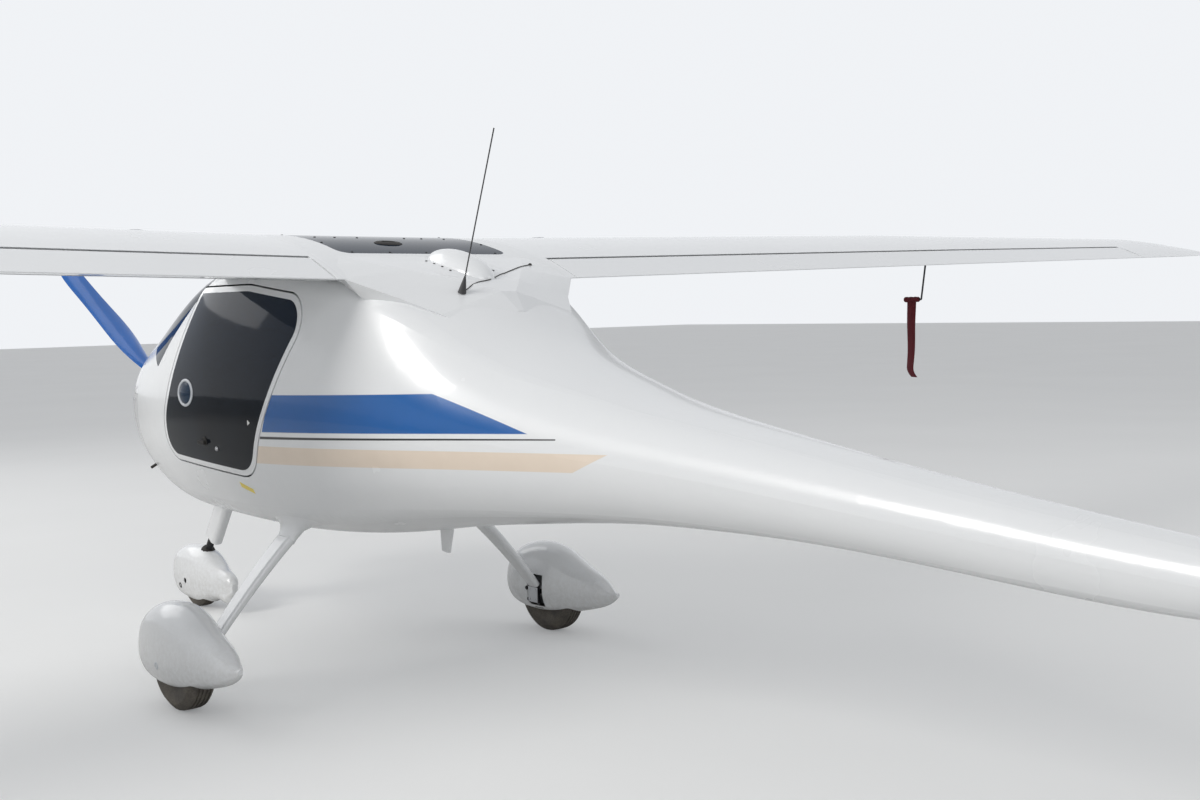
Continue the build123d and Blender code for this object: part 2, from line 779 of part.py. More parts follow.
def wheel(x, station, radius, width, rim_radius):
    """Tyre and rim of a wheel about its axle, as two solids."""
    tyre = revolve(Face(Wire(tyre_edges(radius, width, rim_radius))), Axis.Y)
    half_rim = width * RIM_SHARE
    hub = AXLE_RADIUS + RUNNING_FIT
    hub_outer = AXLE_RADIUS + 14.0
    half_hub = width * 0.46
    web = 6.0
    outline = [
        (hub, -half_hub),
        (hub_outer, -half_hub),
        (hub_outer, -web),
        (rim_radius - 16, -web),
        (rim_radius - 9, -half_rim),
        (rim_radius, -half_rim),
        (rim_radius, half_rim),
        (rim_radius - 9, half_rim),
        (rim_radius - 16, web),
        (hub_outer, web),
        (hub_outer, half_hub),
        (hub, half_hub),
    ]
    rim_face = Face(Wire.make_polygon([Vector(a, b, 0) for a, b in outline], close=True))
    rim = revolve(rim_face, Axis.Y)
    turn = Pos(x, along(station), radius) * Rot(0, 0, 90)
    return turn * tyre, turn * rim


def leg_wire(centre, direction, wide, thick):
    """A rounded bar section across a leg, normal to its direction in the XZ plane."""
    plane = Plane(origin=centre, x_dir=(0, 1, 0), z_dir=direction)
    return (plane * RectangleRounded(wide, thick, thick * 0.45)).face().outer_wire()


# Main gear leg: across, height, width along the aircraft and thickness
LEG = (
    (300.0, 620.0, 98.0, 38.0),
    (500.0, 433.0, 85.0, 32.0),
    (704.0, 200.0, 63.0, 24.0),
)
LEG_STATION = 2102.0
BRACKET_HALF = 30.0
BRACKET_THICKNESS = 12.0
BRACKET_BOTTOM = 125.0
BRACKET_TOP = 218.0
MAIN_OPENING_HALF = 190.0


def build_main_gear(outer):
    x = TRACK / 2
    nodes = {}
    foot_x = LEG[-1][0]
    station = along(MAIN_WHEEL_STATION)
    wires = []
    direction = (foot_x - LEG[0][0], 0, LEG[-1][1] - LEG[0][1])
    for across, height, wide, thick in LEG:
        wires.append(leg_wire((across, along(LEG_STATION), height), direction, wide, thick))
    leg = Solid.make_loft(wires)
    leg = largest(leg - outer)
    bracket = slab(
        (foot_x - 4, station - BRACKET_HALF, BRACKET_BOTTOM),
        (foot_x - 4 + BRACKET_THICKNESS, station + BRACKET_HALF, BRACKET_TOP),
    )
    axle_length = x + MAIN_TYRE_WIDTH * 0.46 - foot_x
    at_axle = Pos(foot_x + axle_length / 2, station, MAIN_TYRE_RADIUS)
    bracket = bracket + at_axle * Rot(0, 90, 0) * Cylinder(AXLE_RADIUS, axle_length)
    leg = largest(leg - bracket)

    spat = spat_body(MAIN_SPAT, x, MAIN_WHEEL_STATION, 0)
    hollow = spat_body(MAIN_SPAT[1:-1], x, MAIN_WHEEL_STATION, SPAT_WALL)
    half_width = MAIN_TYRE_WIDTH / 2 + WHEEL_ROOM
    opening = wheel_opening(x, MAIN_WHEEL_STATION, MAIN_OPENING_HALF, half_width, 150.0)
    slot = slab((x - 130, station - 48, 110.0), (x - 66, station + 48, 240.0))
    spat = spat - hollow - opening - slot
    nodes["left_gear_leg"] = leg
    nodes["left_axle"] = bracket
    nodes["left_spat"] = largest(spat - leg - bracket)
    wheel_sizes = (MAIN_TYRE_RADIUS, MAIN_TYRE_WIDTH, MAIN_RIM_RADIUS)
    nodes["left_tyre"], nodes["left_rim"] = wheel(x, MAIN_WHEEL_STATION, *wheel_sizes)
    return nodes


def steer_point(height):
    """Station of the steering axis at a height."""
    slope = math.tan(math.radians(STEER_RAKE))
    return NOSE_WHEEL_STATION - STEER_OFFSET + (height - NOSE_TYRE_RADIUS) * slope


def steer_plane(height):
    rake = math.radians(STEER_RAKE)
    return Plane(
        origin=(0, along(steer_point(height)), height),
        x_dir=(1, 0, 0),
        z_dir=(0, math.sin(rake), math.cos(rake)),
    )


def build_nose_gear(outer):
    nodes = {}
    station = along(NOSE_WHEEL_STATION)
    fairing_plane = steer_plane(335.0) * Pos(0, 12, 0)
    fairing = extrude(fairing_plane * RectangleRounded(54.0, 96.0, 24.0), amount=300.0)
    bore = extrude(steer_plane(300.0) * Circle(STRUT_RADIUS + RUNNING_FIT), amount=200.0)
    nodes["nose_leg"] = largest(fairing - outer - bore)

    blade_x = NOSE_TYRE_WIDTH / 2 + 7.0
    strut = extrude(steer_plane(241.0) * Circle(STRUT_RADIUS), amount=221.0)
    crown = extrude(steer_plane(239.0) * RectangleRounded(106.0, 24.0, 11.5), amount=8.0)
    fork = strut + crown
    for side in (1, -1):
        blade = side_prism(
            (
                (steer_point(239.0) - 12, 243.0, 6.0),
                (steer_point(239.0) + 12, 229.0, 6.0),
                (NOSE_WHEEL_STATION + 22, NOSE_TYRE_RADIUS, 6.0),
                (NOSE_WHEEL_STATION + 6, NOSE_TYRE_RADIUS - 22, 6.0),
                (NOSE_WHEEL_STATION - 20, NOSE_TYRE_RADIUS - 12, 6.0),
            ),
            blade_x if side > 0 else -blade_x - 6,
            blade_x + 6 if side > 0 else -blade_x,
        )
        fork = fork + blade
    axle_half = blade_x + 14.0
    axle = Pos(0, station, NOSE_TYRE_RADIUS) * Rot(0, 90, 0) * Cylinder(AXLE_RADIUS, 2 * axle_half)
    tow_bore = Pos(0, station, NOSE_TYRE_RADIUS) * Rot(0, 90, 0) * Cylinder(5.0, 2 * axle_half + 2)
    tow_plug = Pos(0, station, NOSE_TYRE_RADIUS) * Rot(0, 90, 0) * Cylinder(5.0, 2 * axle_half - 50)
    fork = fork - axle
    axle = axle - (tow_bore - tow_plug)
    nodes["nose_fork"] = largest(fork)
    nodes["nose_axle"] = axle

    spat = spat_body(NOSE_SPAT, 0, NOSE_WHEEL_STATION, 0)
    hollow = spat_body(NOSE_SPAT[1:-1], 0, NOSE_WHEEL_STATION, 4.0)
    half_width = NOSE_TYRE_WIDTH / 2 + WHEEL_ROOM
    opening = wheel_opening(0, NOSE_WHEEL_STATION, 140.0, half_width, 110.0)
    strut_hole = extrude(steer_plane(240.0) * Circle(STRUT_RADIUS + 8), amount=90.0)
    tow_hole = Pos(0, station, NOSE_TYRE_RADIUS) * Rot(0, 90, 0) * Cylinder(13.0, 300.0)
    spat = spat - hollow - opening - strut_hole - tow_hole
    nodes["nose_spat"] = largest(spat - fork - axle)
    wheel_sizes = (NOSE_TYRE_RADIUS, NOSE_TYRE_WIDTH, NOSE_RIM_RADIUS)
    nodes["nose_tyre"], nodes["nose_rim"] = wheel(0, NOSE_WHEEL_STATION, *wheel_sizes)
    return nodes


# Fin sections: height, leading-edge station
FIN = ((690.0, 5690.0), (900.0, 5810.0), (FIN_TOP, 6040.0))
FIN_CHORD_SHARE = 0.66
FIN_SKIN = 6.0
# Rudder sections: height, nose radius, trailing-edge station
RUDDER = (
    (RUDDER_BOTTOM, 24.0, SPINNER_TIP_STATION + LENGTH),
    (RUDDER_TOP, 21.0, SPINNER_TIP_STATION + LENGTH - 70.0),
)
# Ventral fin in side view: station, height, corner radius
VENTRAL_FIN = (
    (5860.0, 700.0, 12.0),
    (5970.0, 480.0, 12.0),
    (6170.0, 455.0, 12.0),
    (6270.0, 470.0, 12.0),
    (6295.0, 690.0, 12.0),
)
VENTRAL_HALF = 7.0
TAIL_RING_STATION = 6090.0
TAIL_RING_HEIGHT = 500.0
TAIL_RING_RADIUS = 7.0
TAIL_CREST = 0.055


def rudder_nose(height):
    share = (height - RUDDER[0][0]) / (RUDDER[1][0] - RUDDER[0][0])
    return RUDDER[0][1] + (RUDDER[1][1] - RUDDER[0][1]) * share


def build_tail(outer):
    nodes = {}
    wires = []
    for height, front in FIN:
        chord = (RUDDER_HINGE_STATION - front) / FIN_CHORD_SHARE

        def place(back, up):
            return (up, along(front) + back, height)

        crest = (rudder_nose(height) + FIN_SKIN) / chord
        hinge = ((RUDDER_HINGE_STATION - front) / chord, 0.0)
        wires.append(foil_wire(chord, crest, crest, place, hinge, rudder_nose(height) + MOVING_GAP))
    fin = Solid.make_loft(wires, True)

    wires = []
    for height, nose, tail in RUDDER:

        def place(back, up):
            return (up, along(back), height)

        wires.append(flap_wire((RUDDER_HINGE_STATION, 0.0), nose, (tail, 0.0), 1.5, place))
    rudder = Solid.make_loft(wires, True)

    def tail_place(x, front, chord):
        def place(back, up):
            return (x, along(front) + back, STABILISER_HEIGHT + up)

        return place

    plane_wires = []
    flap_wires = []
    hinge_line = STABILISER_STATION + STABILISER_ROOT_CHORD * (1 - ELEVATOR_SHARE)
    tip_front = hinge_line - STABILISER_TIP_CHORD * (1 - ELEVATOR_SHARE)
    rows = (
        (0.0, STABILISER_STATION, STABILISER_ROOT_CHORD),
        (STABILISER_HALF_SPAN, tip_front, STABILISER_TIP_CHORD),
    )
    for x, front, chord in rows:
        place = tail_place(x, front, chord)
        share = (hinge_line - front) / chord
        radius = foil_height(TAIL_CREST, share) * chord
        cove = radius + MOVING_GAP
        plane_wires.append(foil_wire(chord, TAIL_CREST, TAIL_CREST, place, (share, 0.0), cove))
        flap_wires.append(flap_wire((share * chord, 0.0), radius - 1.0, (chord, 0.0), 1.5, place))
    half_plane = Solid.make_loft(plane_wires, True)
    half_flap = Solid.make_loft(flap_wires, True)
    stabiliser = half_plane + mirrored(half_plane)
    elevator = half_flap + mirrored(half_flap)
    fin = fin - outer - stabiliser
    nodes["fin"] = largest(fin)
    nodes["rudder"] = rudder
    nodes["stabiliser"] = stabiliser
    nodes["elevator"] = elevator

    ventral = side_prism(VENTRAL_FIN, -VENTRAL_HALF, VENTRAL_HALF)
    at_ring = Pos(0, along(TAIL_RING_STATION), TAIL_RING_HEIGHT)
    hole = at_ring * Rot(0, 90, 0) * Cylinder(TAIL_RING_RADIUS, 4 * VENTRAL_HALF)
    nodes["ventral_fin"] = largest(ventral - outer - hole)
    return nodes


def cabin_fittings():
    """Seats, panel, console and bulkhead, trimmed to the inside of the cabin."""
    nodes = {}
    cabin = body(CABIN_WALL) & stations(FIREWALL_STATION + FIREWALL, BULKHEAD_STATION + BULKHEAD)
    seat_points = (
        (1560.0, 400.0, 10.0),
        (1560.0, 760.0, 30.0),
        (1960.0, 700.0, 60.0),
        (2240.0, 1270.0, 30.0),
        (2330.0, 1250.0, 30.0),
        (2080.0, 620.0, 60.0),
        (2060.0, 400.0, 10.0),
    )
    seat = side_prism(seat_points, 40.0, 460.0) & cabin
    nodes["left_seat"] = largest(seat)
    nodes["right_seat"] = mirrored(nodes["left_seat"])
    panel_outline = (
        (1120.0, 960.0, 15.0),
        (1150.0, 1120.0, 15.0),
        (1260.0, 1150.0, 15.0),
        (1235.0, 960.0, 15.0),
    )
    nodes["instrument_panel"] = largest(side_prism(panel_outline, -600.0, 600.0) & cabin)
    console = slab((-35.0, along(1250.0), 400.0), (35.0, along(2150.0), 640.0)) & cabin
    stick = Pos(0, along(1480.0), 760.0) * Cylinder(14.0, 260.0)
    nodes["centre_console"] = console + stick
    nodes["rear_bulkhead"] = cabin & stations(BULKHEAD_STATION, BULKHEAD_STATION + BULKHEAD)
    return nodes


# Blade antenna under the belly in side view: station, height, corner radius
BELLY_ANTENNA = (
    (2470.0, 600.0, 5.0),
    (2480.0, 475.0, 5.0),
    (2520.0, 470.0, 5.0),
    (2555.0, 600.0, 5.0),
)
BELLY_ANTENNA_HALF = 5.0
# Whip antenna behind the roof: across, station and height of its two ends
WHIP_BASE = (150.0, 2844.0, 1372.0)
WHIP_TIP = (150.0, 3036.0, 1875.0)
WHIP_RADIUS = 2.2
WHIP_CONE_RADIUS = 14.0
WHIP_CONE_LENGTH = 55.0
# Teardrop dome behind the roof window
DOME_STATION = 2632.0
DOME_HEIGHT = 1452.0
DOME_WIDTH = 160.0
DOME_LENGTH = 330.0
DOME_RISE = 62.0
DOME_TILT = 16.0
# Pitot mast under the right wing, with a probe that points forward and wears a cover
PITOT_X = 3100.0
PITOT_TOP = (2300.0, 1500.0)
PITOT_FOOT = (2272.0, 1316.0)
PITOT_RADIUS = 4.5
PROBE_START = 2180.0
COVER_START = 2172.0
COVER_END = 2262.0
COVER_HALF = 13.0
RIBBON_THICKNESS = 3.0
RIBBON = (
    (2190.0, PITOT_FOOT[1], 2.0),
    (2246.0, PITOT_FOOT[1], 2.0),
    (2230.0, 932.0, 4.0),
    (2176.0, 932.0, 4.0),
)
# Exhaust pipe below the lower cowl: its mouth and the end inside
EXHAUST_X = -120.0
EXHAUST_MOUTH = (905.0, 515.0)
EXHAUST_ROOT = (820.0, 640.0)
EXHAUST_RADIUS = 21.0
EXHAUST_WALL = 1.5


def rod(x, start, end, radius):
    """A bar between two points, each a station and a height, in the plane at x."""
    base = Vector(x, along(start[0]), start[1])
    reach = Vector(x, along(end[0]), end[1]) - base
    return extrude(Plane(origin=base, z_dir=reach) * Circle(radius), amount=reach.length)


def small_parts(outer, right_wing):
    nodes = {}
    blade = side_prism(BELLY_ANTENNA, -BELLY_ANTENNA_HALF, BELLY_ANTENNA_HALF)
    nodes["belly_antenna"] = largest(blade - outer)

    whip = rod(WHIP_BASE[0], WHIP_BASE[1:], WHIP_TIP[1:], WHIP_RADIUS)
    base = Vector(WHIP_BASE[0], along(WHIP_BASE[1]), WHIP_BASE[2])
    lean = Vector(WHIP_TIP[0], along(WHIP_TIP[1]), WHIP_TIP[2]) - base
    foot = (Align.CENTER, Align.CENTER, Align.MIN)
    cone = Cone(WHIP_CONE_RADIUS, WHIP_RADIUS + 1.0, WHIP_CONE_LENGTH, align=foot)
    nodes["whip_antenna"] = whip + Plane(origin=base, z_dir=lean) * cone

    size = (DOME_WIDTH / 2, DOME_LENGTH / 2, DOME_RISE)
    dome = Rot(-DOME_TILT, 0, 0) * scale(Sphere(1.0), by=size)
    dome = Pos(0, along(DOME_STATION), DOME_HEIGHT) * dome
    nodes["roof_dome"] = dome

    probe = rod(-PITOT_X, (PROBE_START, PITOT_FOOT[1]), PITOT_FOOT, PITOT_RADIUS)
    mast = rod(-PITOT_X, PITOT_FOOT, PITOT_TOP, PITOT_RADIUS)
    nodes["pitot_mast"] = largest(mast + probe - right_wing)
    sleeve = slab(
        (-PITOT_X - COVER_HALF, along(COVER_START), PITOT_FOOT[1] - COVER_HALF),
        (-PITOT_X + COVER_HALF, along(COVER_END), PITOT_FOOT[1] + COVER_HALF),
    )
    ribbon_side = RIBBON_THICKNESS / 2
    ribbon = side_prism(RIBBON, -PITOT_X - ribbon_side, -PITOT_X + ribbon_side)
    nodes["pitot_cover"] = sleeve + ribbon - probe

    pipe = rod(EXHAUST_X, EXHAUST_MOUTH, EXHAUST_ROOT, EXHAUST_RADIUS)
    pipe = pipe - rod(EXHAUST_X, EXHAUST_MOUTH, EXHAUST_ROOT, EXHAUST_RADIUS - EXHAUST_WALL)
    nodes["exhaust_pipe"] = largest(pipe - outer)
    return nodes


def main():
    os.makedirs("parts", exist_ok=True)
    nodes = {}
    outer = body(0)
    nodes.update(build_body(outer))
    nodes.update(build_cowls(outer))
    nodes.update(build_propeller())
    nodes.update(build_engine())
    nodes["left_wing"] = wing_solid(outer)
    nodes["left_flaperon"] = flaperon_solid()
    nodes.update(build_main_gear(outer))
    for name in [key for key in nodes if key.startswith("left_")]:
        nodes[name.replace("left_", "right_")] = mirrored(nodes[name])
    nodes.update(build_nose_gear(outer))
    nodes.update(build_tail(outer))
    nodes.update(cabin_fittings())
    nodes.update(small_parts(outer, nodes["right_wing"]))
    for name in ("whip_antenna", "roof_dome"):
        nodes[name] = topmost(nodes[name] - nodes["fuselage_shell"])
    for name, shape in nodes.items():
        export_step(shape, f"parts/{name}.step")
    print("flaperon hinge", hinge_point(FLAPERON_START_X), hinge_point(FLAPERON_END_X))
    print("tie-down", wing_underside(TIE_DOWN_X, TIE_DOWN_STATION))
    print("steering axis", steer_point(NOSE_TYRE_RADIUS))


main()
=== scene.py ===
import json
import math

import bmesh
import bpy
from mathutils import Matrix, Vector


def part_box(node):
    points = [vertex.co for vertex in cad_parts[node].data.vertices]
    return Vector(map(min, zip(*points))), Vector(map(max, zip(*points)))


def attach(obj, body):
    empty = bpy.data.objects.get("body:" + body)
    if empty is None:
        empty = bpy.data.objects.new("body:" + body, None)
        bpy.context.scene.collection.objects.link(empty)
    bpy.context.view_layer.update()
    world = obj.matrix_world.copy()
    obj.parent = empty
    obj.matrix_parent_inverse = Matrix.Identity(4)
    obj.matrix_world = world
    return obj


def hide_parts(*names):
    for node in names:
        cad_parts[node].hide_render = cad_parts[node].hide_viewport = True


# The dressed model of a high-wing ultralight aircraft. Metres. +X is the aircraft's left,
# -Y is forward and +Z is up. A station is a distance aft of a datum that lies 0.21 m ahead
# of the spinner's tip. A place given by two numbers is (station, height) on a side and
# (X, station) on the top.

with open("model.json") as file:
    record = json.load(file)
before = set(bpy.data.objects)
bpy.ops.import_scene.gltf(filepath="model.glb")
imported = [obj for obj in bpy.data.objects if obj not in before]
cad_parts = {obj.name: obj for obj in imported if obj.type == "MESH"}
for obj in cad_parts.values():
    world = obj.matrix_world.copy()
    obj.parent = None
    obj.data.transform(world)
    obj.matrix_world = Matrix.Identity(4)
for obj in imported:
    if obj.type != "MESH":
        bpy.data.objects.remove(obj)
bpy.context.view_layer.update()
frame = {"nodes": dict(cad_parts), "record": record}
NODES = frame["nodes"]
LENGTH = 6.5
SPINNER_TIP = 0.21

# The photograph's camera
CAMERA_PLACE = (2.831, 3.089, 1.322)
CAMERA_YAW = -138.65
CAMERA_PITCH = -3.83
CAMERA_ROLL = -1.28
LENS = 42.43
SENSOR = 36.0


def along(station):
    """The Y coordinate of a station. Y is 0 in the middle of the length."""
    return station - SPINNER_TIP - LENGTH / 2


class Socket:
    """A number made by a material's nodes, written in expressions."""

    def __init__(self, finish, socket):
        self.finish = finish
        self.socket = socket

    def maths(self, operation, first, second):
        node = self.finish.node("ShaderNodeMath", {"operation": operation}, {0: first, 1: second})
        return Socket(self.finish, node.outputs[0])

    def __add__(self, other):
        return self.maths("ADD", self, other)

    def __radd__(self, other):
        return self.maths("ADD", other, self)

    def __sub__(self, other):
        return self.maths("SUBTRACT", self, other)

    def __rsub__(self, other):
        return self.maths("SUBTRACT", other, self)

    def __mul__(self, other):
        return self.maths("MULTIPLY", self, other)

    def __rmul__(self, other):
        return self.maths("MULTIPLY", other, self)

    def __truediv__(self, other):
        return self.maths("DIVIDE", self, other)

    def least(self, other):
        return self.maths("MINIMUM", self, other)

    def most(self, other):
        return self.maths("MAXIMUM", self, other)

    def wave(self):
        return self.maths("SINE", self, 0.0)

    def clipped(self):
        return self.most(0.0).least(1.0)

    def ramp(self, low, high):
        """0 below low, 1 above high, straight between."""
        return ((self - low) / (high - low)).clipped()


class Finish:
    """A material: its shader, its coordinates and the one method that adds a node."""

    def __init__(self, name, **inputs):
        self.material = bpy.data.materials.new(name)
        self.material.use_nodes = True
        self.tree = self.material.node_tree
        self.shader = self.tree.nodes["Principled BSDF"]
        self.coordinates = self.tree.nodes.new("ShaderNodeTexCoord").outputs["Object"]
        parts = self.node("ShaderNodeSeparateXYZ", {}, {0: self.coordinates})
        self.x, self.y, self.z = (Socket(self, output) for output in parts.outputs)
        self.set(**inputs)

    def node(self, kind, settings, inputs):
        node = self.tree.nodes.new(kind)
        for key, value in settings.items():
            setattr(node, key, value)
        for key, value in inputs.items():
            value = value.socket if isinstance(value, Socket) else value
            if isinstance(value, bpy.types.NodeSocket):
                self.tree.links.new(value, node.inputs[key])
            else:
                node.inputs[key].default_value = value
        return node

    def set(self, **inputs):
        """Shader sockets by name, with underscores for the spaces."""
        for key, value in inputs.items():
            socket = self.shader.inputs[key.replace("_", " ")]
            value = value.socket if isinstance(value, Socket) else value
            if isinstance(value, bpy.types.NodeSocket):
                self.tree.links.new(value, socket)
            else:
                socket.default_value = value

    def noise(self, scale, detail=2.0, roughness=0.5):
        settings = {"noise_dimensions": "3D"}
        values = {
            "Vector": self.coordinates,
            "Scale": scale,
            "Detail": detail,
            "Roughness": roughness,
        }
        return Socket(self, self.node("ShaderNodeTexNoise", settings, values).outputs[0])

    def polygon(self, corners, soft=0.001):
        """1 inside a convex polygon of (station, height) corners, seen from the left."""
        mask = 1.0
        for (start, low), (stop, high) in zip(corners, corners[1:] + corners[:1]):
            long = math.hypot(stop - start, high - low)
            across, down = (high - low) / long, (start - stop) / long
            offset = along(start) * across + low * down
            mask = (self.y * across + self.z * down - offset).ramp(-soft, soft) * mask
        return mask

    def mixed(self, share, first, second):
        """A colour between two others."""
        node = self.node(
            "ShaderNodeMix", {"data_type": "RGBA"}, {0: share, 6: first, 7: second}
        )
        return node.outputs[2]

    def bump(self, height, distance, strength=1.0):
        node = self.node(
            "ShaderNodeBump", {}, {"Height": height, "Distance": distance, "Strength": strength}
        )
        self.set(Normal=node.outputs[0])


def rgb(red, green, blue):
    """An opaque colour."""
    return (red, green, blue, 1.0)


WHITE = rgb(0.80, 0.81, 0.82)
BLUE = rgb(0.0, 0.095, 0.33)
BLACK = rgb(0.010, 0.011, 0.013)
BEIGE = rgb(0.80, 0.69, 0.58)
YELLOW = rgb(0.78, 0.60, 0.03)
GLASS = rgb(0.010, 0.010, 0.011)
# The blue of a painted sky reflection on the panes
SKY_REFLECTION_BLUE = rgb(0.008, 0.020, 0.045)
DUST = rgb(0.36, 0.33, 0.28)

# The stripes on the body's sides and the plain patch below the door, by their corners
BLUE_STRIPE = ((2.278, 1.047), (2.994, 1.065), (3.358, 0.956), (2.217, 0.920))
BLACK_STRIPE = ((2.201, 0.904), (3.459, 0.945), (3.459, 0.941), (2.197, 0.895))
BEIGE_STRIPE = ((2.176, 0.870), (3.644, 0.909), (3.519, 0.852), (2.126, 0.807))
PATCH = ((1.951, 0.726), (2.032, 0.705), (2.028, 0.686), (1.947, 0.706))
# How high dust reaches on the body and on the wheel covers
BODY_DUST_TOP = 0.62
SPAT_DUST_TOP = 0.34
# The heights between which the panes turn from black to the blue of a painted sky reflection
SKY_REFLECTION_HEIGHTS = (0.95, 1.45)


def white_tint(finish, level, dust):
    """White with faint clouds, and dust that thins out up to a level in metres."""
    cloud = finish.noise(2.2, 4.0)
    base = finish.mixed(cloud, WHITE, rgb(0.76, 0.775, 0.79))
    speck = finish.noise(60.0, 5.0, 0.7)
    low = 1.0 - finish.z.ramp(0.0, level)
    share = (low * (speck - 0.35) * dust * 1.6).clipped()
    return finish.mixed(share, base, DUST)


def gelcoat(name, level, dust):
    """Glossy white resin, dusty below a level."""
    finish = Finish(name, Coat_Weight=0.6, Coat_Roughness=0.05, IOR=1.5)
    haze = finish.noise(3.0, 4.0)
    finish.set(Base_Color=white_tint(finish, level, dust), Roughness=0.22 + 0.08 * haze)
    finish.bump(finish.noise(90.0, 1.0), 0.0004, 0.25)
    return finish


def painted(name, colour):
    """Glossy paint with chips of wear."""
    finish = Finish(name, Coat_Weight=0.5, Coat_Roughness=0.08)
    haze = finish.noise(9.0, 4.0)
    darker = tuple(0.75 * part for part in colour[:3]) + (1.0,)
    chips = (finish.noise(120.0, 4.0, 0.7) - 0.66).ramp(0.0, 0.03) * 0.5
    base = finish.mixed(haze, colour, darker)
    finish.set(Base_Color=finish.mixed(chips, base, rgb(0.25, 0.27, 0.3)))
    finish.set(Roughness=0.24 + 0.12 * haze)
    finish.bump(finish.noise(150.0, 2.0), 0.0003, 0.25)
    return finish


def plain(name, colour, roughness, grain, depth):
    """A moulded finish with a fine grain and faint clouds."""
    finish = Finish(name)
    speck = finish.noise(grain, 3.0)
    lighter = tuple(min(1.0, 1.35 * part + 0.01) for part in colour[:3]) + (1.0,)
    finish.set(Base_Color=finish.mixed(finish.noise(12.0, 4.0), colour, lighter))
    finish.set(Roughness=roughness - 0.06 + 0.12 * speck)
    finish.bump(speck, depth, 0.5)
    return finish


def glazing(name, colour, alpha, gloss=0.15):
    """Tinted glazing with a painted reflection of the sky, bluer towards the roof."""
    finish = Finish(name, Specular_IOR_Level=gloss, IOR=1.4)
    haze = finish.noise(6.0, 3.0)
    # Painted sky reflection: the pane's colour turns from black to blue with height
    tint = finish.mixed(finish.z.ramp(*SKY_REFLECTION_HEIGHTS), colour, SKY_REFLECTION_BLUE)
    lighter = finish.mixed(0.6, tint, rgb(0.02, 0.03, 0.045))
    finish.set(Base_Color=finish.mixed(haze, tint, lighter), Alpha=alpha)
    finish.set(Roughness=0.03 + 0.06 * haze)
    return finish


def shell_gelcoat():
    """The body's finish: white, with the side stripes and one plain yellow patch."""
    finish = Finish("striped_gelcoat", Coat_Weight=0.3, Coat_Roughness=0.05, IOR=1.5)
    tint = white_tint(finish, BODY_DUST_TOP, 0.2)
    blue = finish.polygon(BLUE_STRIPE)
    line = finish.polygon(BLACK_STRIPE)
    beige = finish.polygon(BEIGE_STRIPE)
    patch = finish.polygon(PATCH)
    streak = finish.noise(14.0, 3.0)
    colour = finish.mixed(beige, tint, finish.mixed(streak, BEIGE, rgb(0.75, 0.64, 0.53)))
    colour = finish.mixed(line, colour, BLACK)
    colour = finish.mixed(patch, colour, YELLOW)
    blues = finish.mixed(streak, BLUE, rgb(0.002, 0.102, 0.37))
    finish.set(Base_Color=finish.mixed(blue, colour, blues))
    finish.set(Roughness=0.22 + 0.08 * finish.noise(3.0, 4.0) + 0.06 * line)
    finish.bump(finish.noise(90.0, 1.0), 0.0004, 0.25)
    return finish


def rubber(name, colour, dust):
    """Rubber with road dust in its low places."""
    finish = Finish(name)
    grain = finish.noise(220.0, 3.0)
    cloud = finish.noise(22.0, 4.0)
    share = (cloud * grain * 2.2 * dust).clipped()
    finish.set(Base_Color=finish.mixed(share, colour, rgb(0.16, 0.14, 0.115)))
    finish.set(Roughness=0.62 + 0.25 * grain)
    finish.bump(grain, 0.0008, 0.6)
    return finish


def woven(name, colour, lighter, pitch):
    """Cloth with a weave of that pitch in metres."""
    finish = Finish(name)
    turns = 2 * math.pi / pitch
    warp = (finish.x * turns).wave()
    weft = ((finish.y + finish.z) * turns).wave()
    weave = 0.5 + 0.5 * warp * weft
    cloud = finish.noise(18.0, 4.0)
    finish.set(Base_Color=finish.mixed((weave * 0.5 + cloud * 0.5).clipped(), colour, lighter))
    finish.set(Roughness=0.82 + 0.12 * cloud)
    finish.bump(weave, 0.0006, 0.7)
    return finish


def alloy(name, colour, roughness, metallic=1.0):
    """Bare metal with fine scratches and dull patches."""
    finish = Finish(name)
    scratch = finish.noise(140.0, 6.0, 0.7)
    dull = finish.noise(14.0, 3.0)
    darker = tuple(0.7 * part for part in colour[:3]) + (1.0,)
    finish.set(Base_Color=finish.mixed(dull, colour, darker))
    finish.set(Roughness=roughness - 0.08 + 0.22 * dull + 0.06 * scratch, Metallic=metallic)
    finish.bump(scratch, 0.0002, 0.4)
    return finish


def dress(names, finish):
    """Gives CAD nodes a finish."""
    for name in names:
        mesh = NODES[name].data
        mesh.materials.clear()
        mesh.materials.append(finish.material)


GELCOAT = gelcoat("white_gelcoat", BODY_DUST_TOP, 0.2)
SPAT_GELCOAT = gelcoat("spat_gelcoat", SPAT_DUST_TOP, 0.75)
FINISHES = {
    "white_gelcoat": GELCOAT,
    "tinted_glazing": glazing("tinted_glazing", GLASS, 0.92),
    "tyre_rubber": rubber("tyre_rubber", rgb(0.022, 0.022, 0.022), 1.0),
    "cast_alloy": alloy("cast_alloy", rgb(0.55, 0.56, 0.58), 0.38),
    "gear_steel": alloy("gear_steel", rgb(0.03, 0.03, 0.033), 0.38, 0.6),
    "engine_metal": alloy("engine_metal", rgb(0.25, 0.25, 0.26), 0.5, 0.8),
    "firewall_steel": alloy("firewall_steel", rgb(0.5, 0.51, 0.53), 0.35),
    "blue_paint": painted("blue_paint", rgb(0.003, 0.16, 0.62)),
    "seat_fabric": woven("seat_fabric", rgb(0.035, 0.035, 0.04), rgb(0.075, 0.075, 0.085), 0.0035),
    "dark_plastic": plain("dark_plastic", rgb(0.03, 0.03, 0.032), 0.55, 400.0, 0.0004),
    "bare_alloy": alloy("bare_alloy", rgb(0.6, 0.6, 0.62), 0.33),
    "red_cloth": woven("red_cloth", rgb(0.085, 0.006, 0.012), rgb(0.15, 0.010, 0.018), 0.0022),
}
WEB = woven("harness_web", rgb(0.02, 0.02, 0.022), rgb(0.06, 0.06, 0.066), 0.0025)
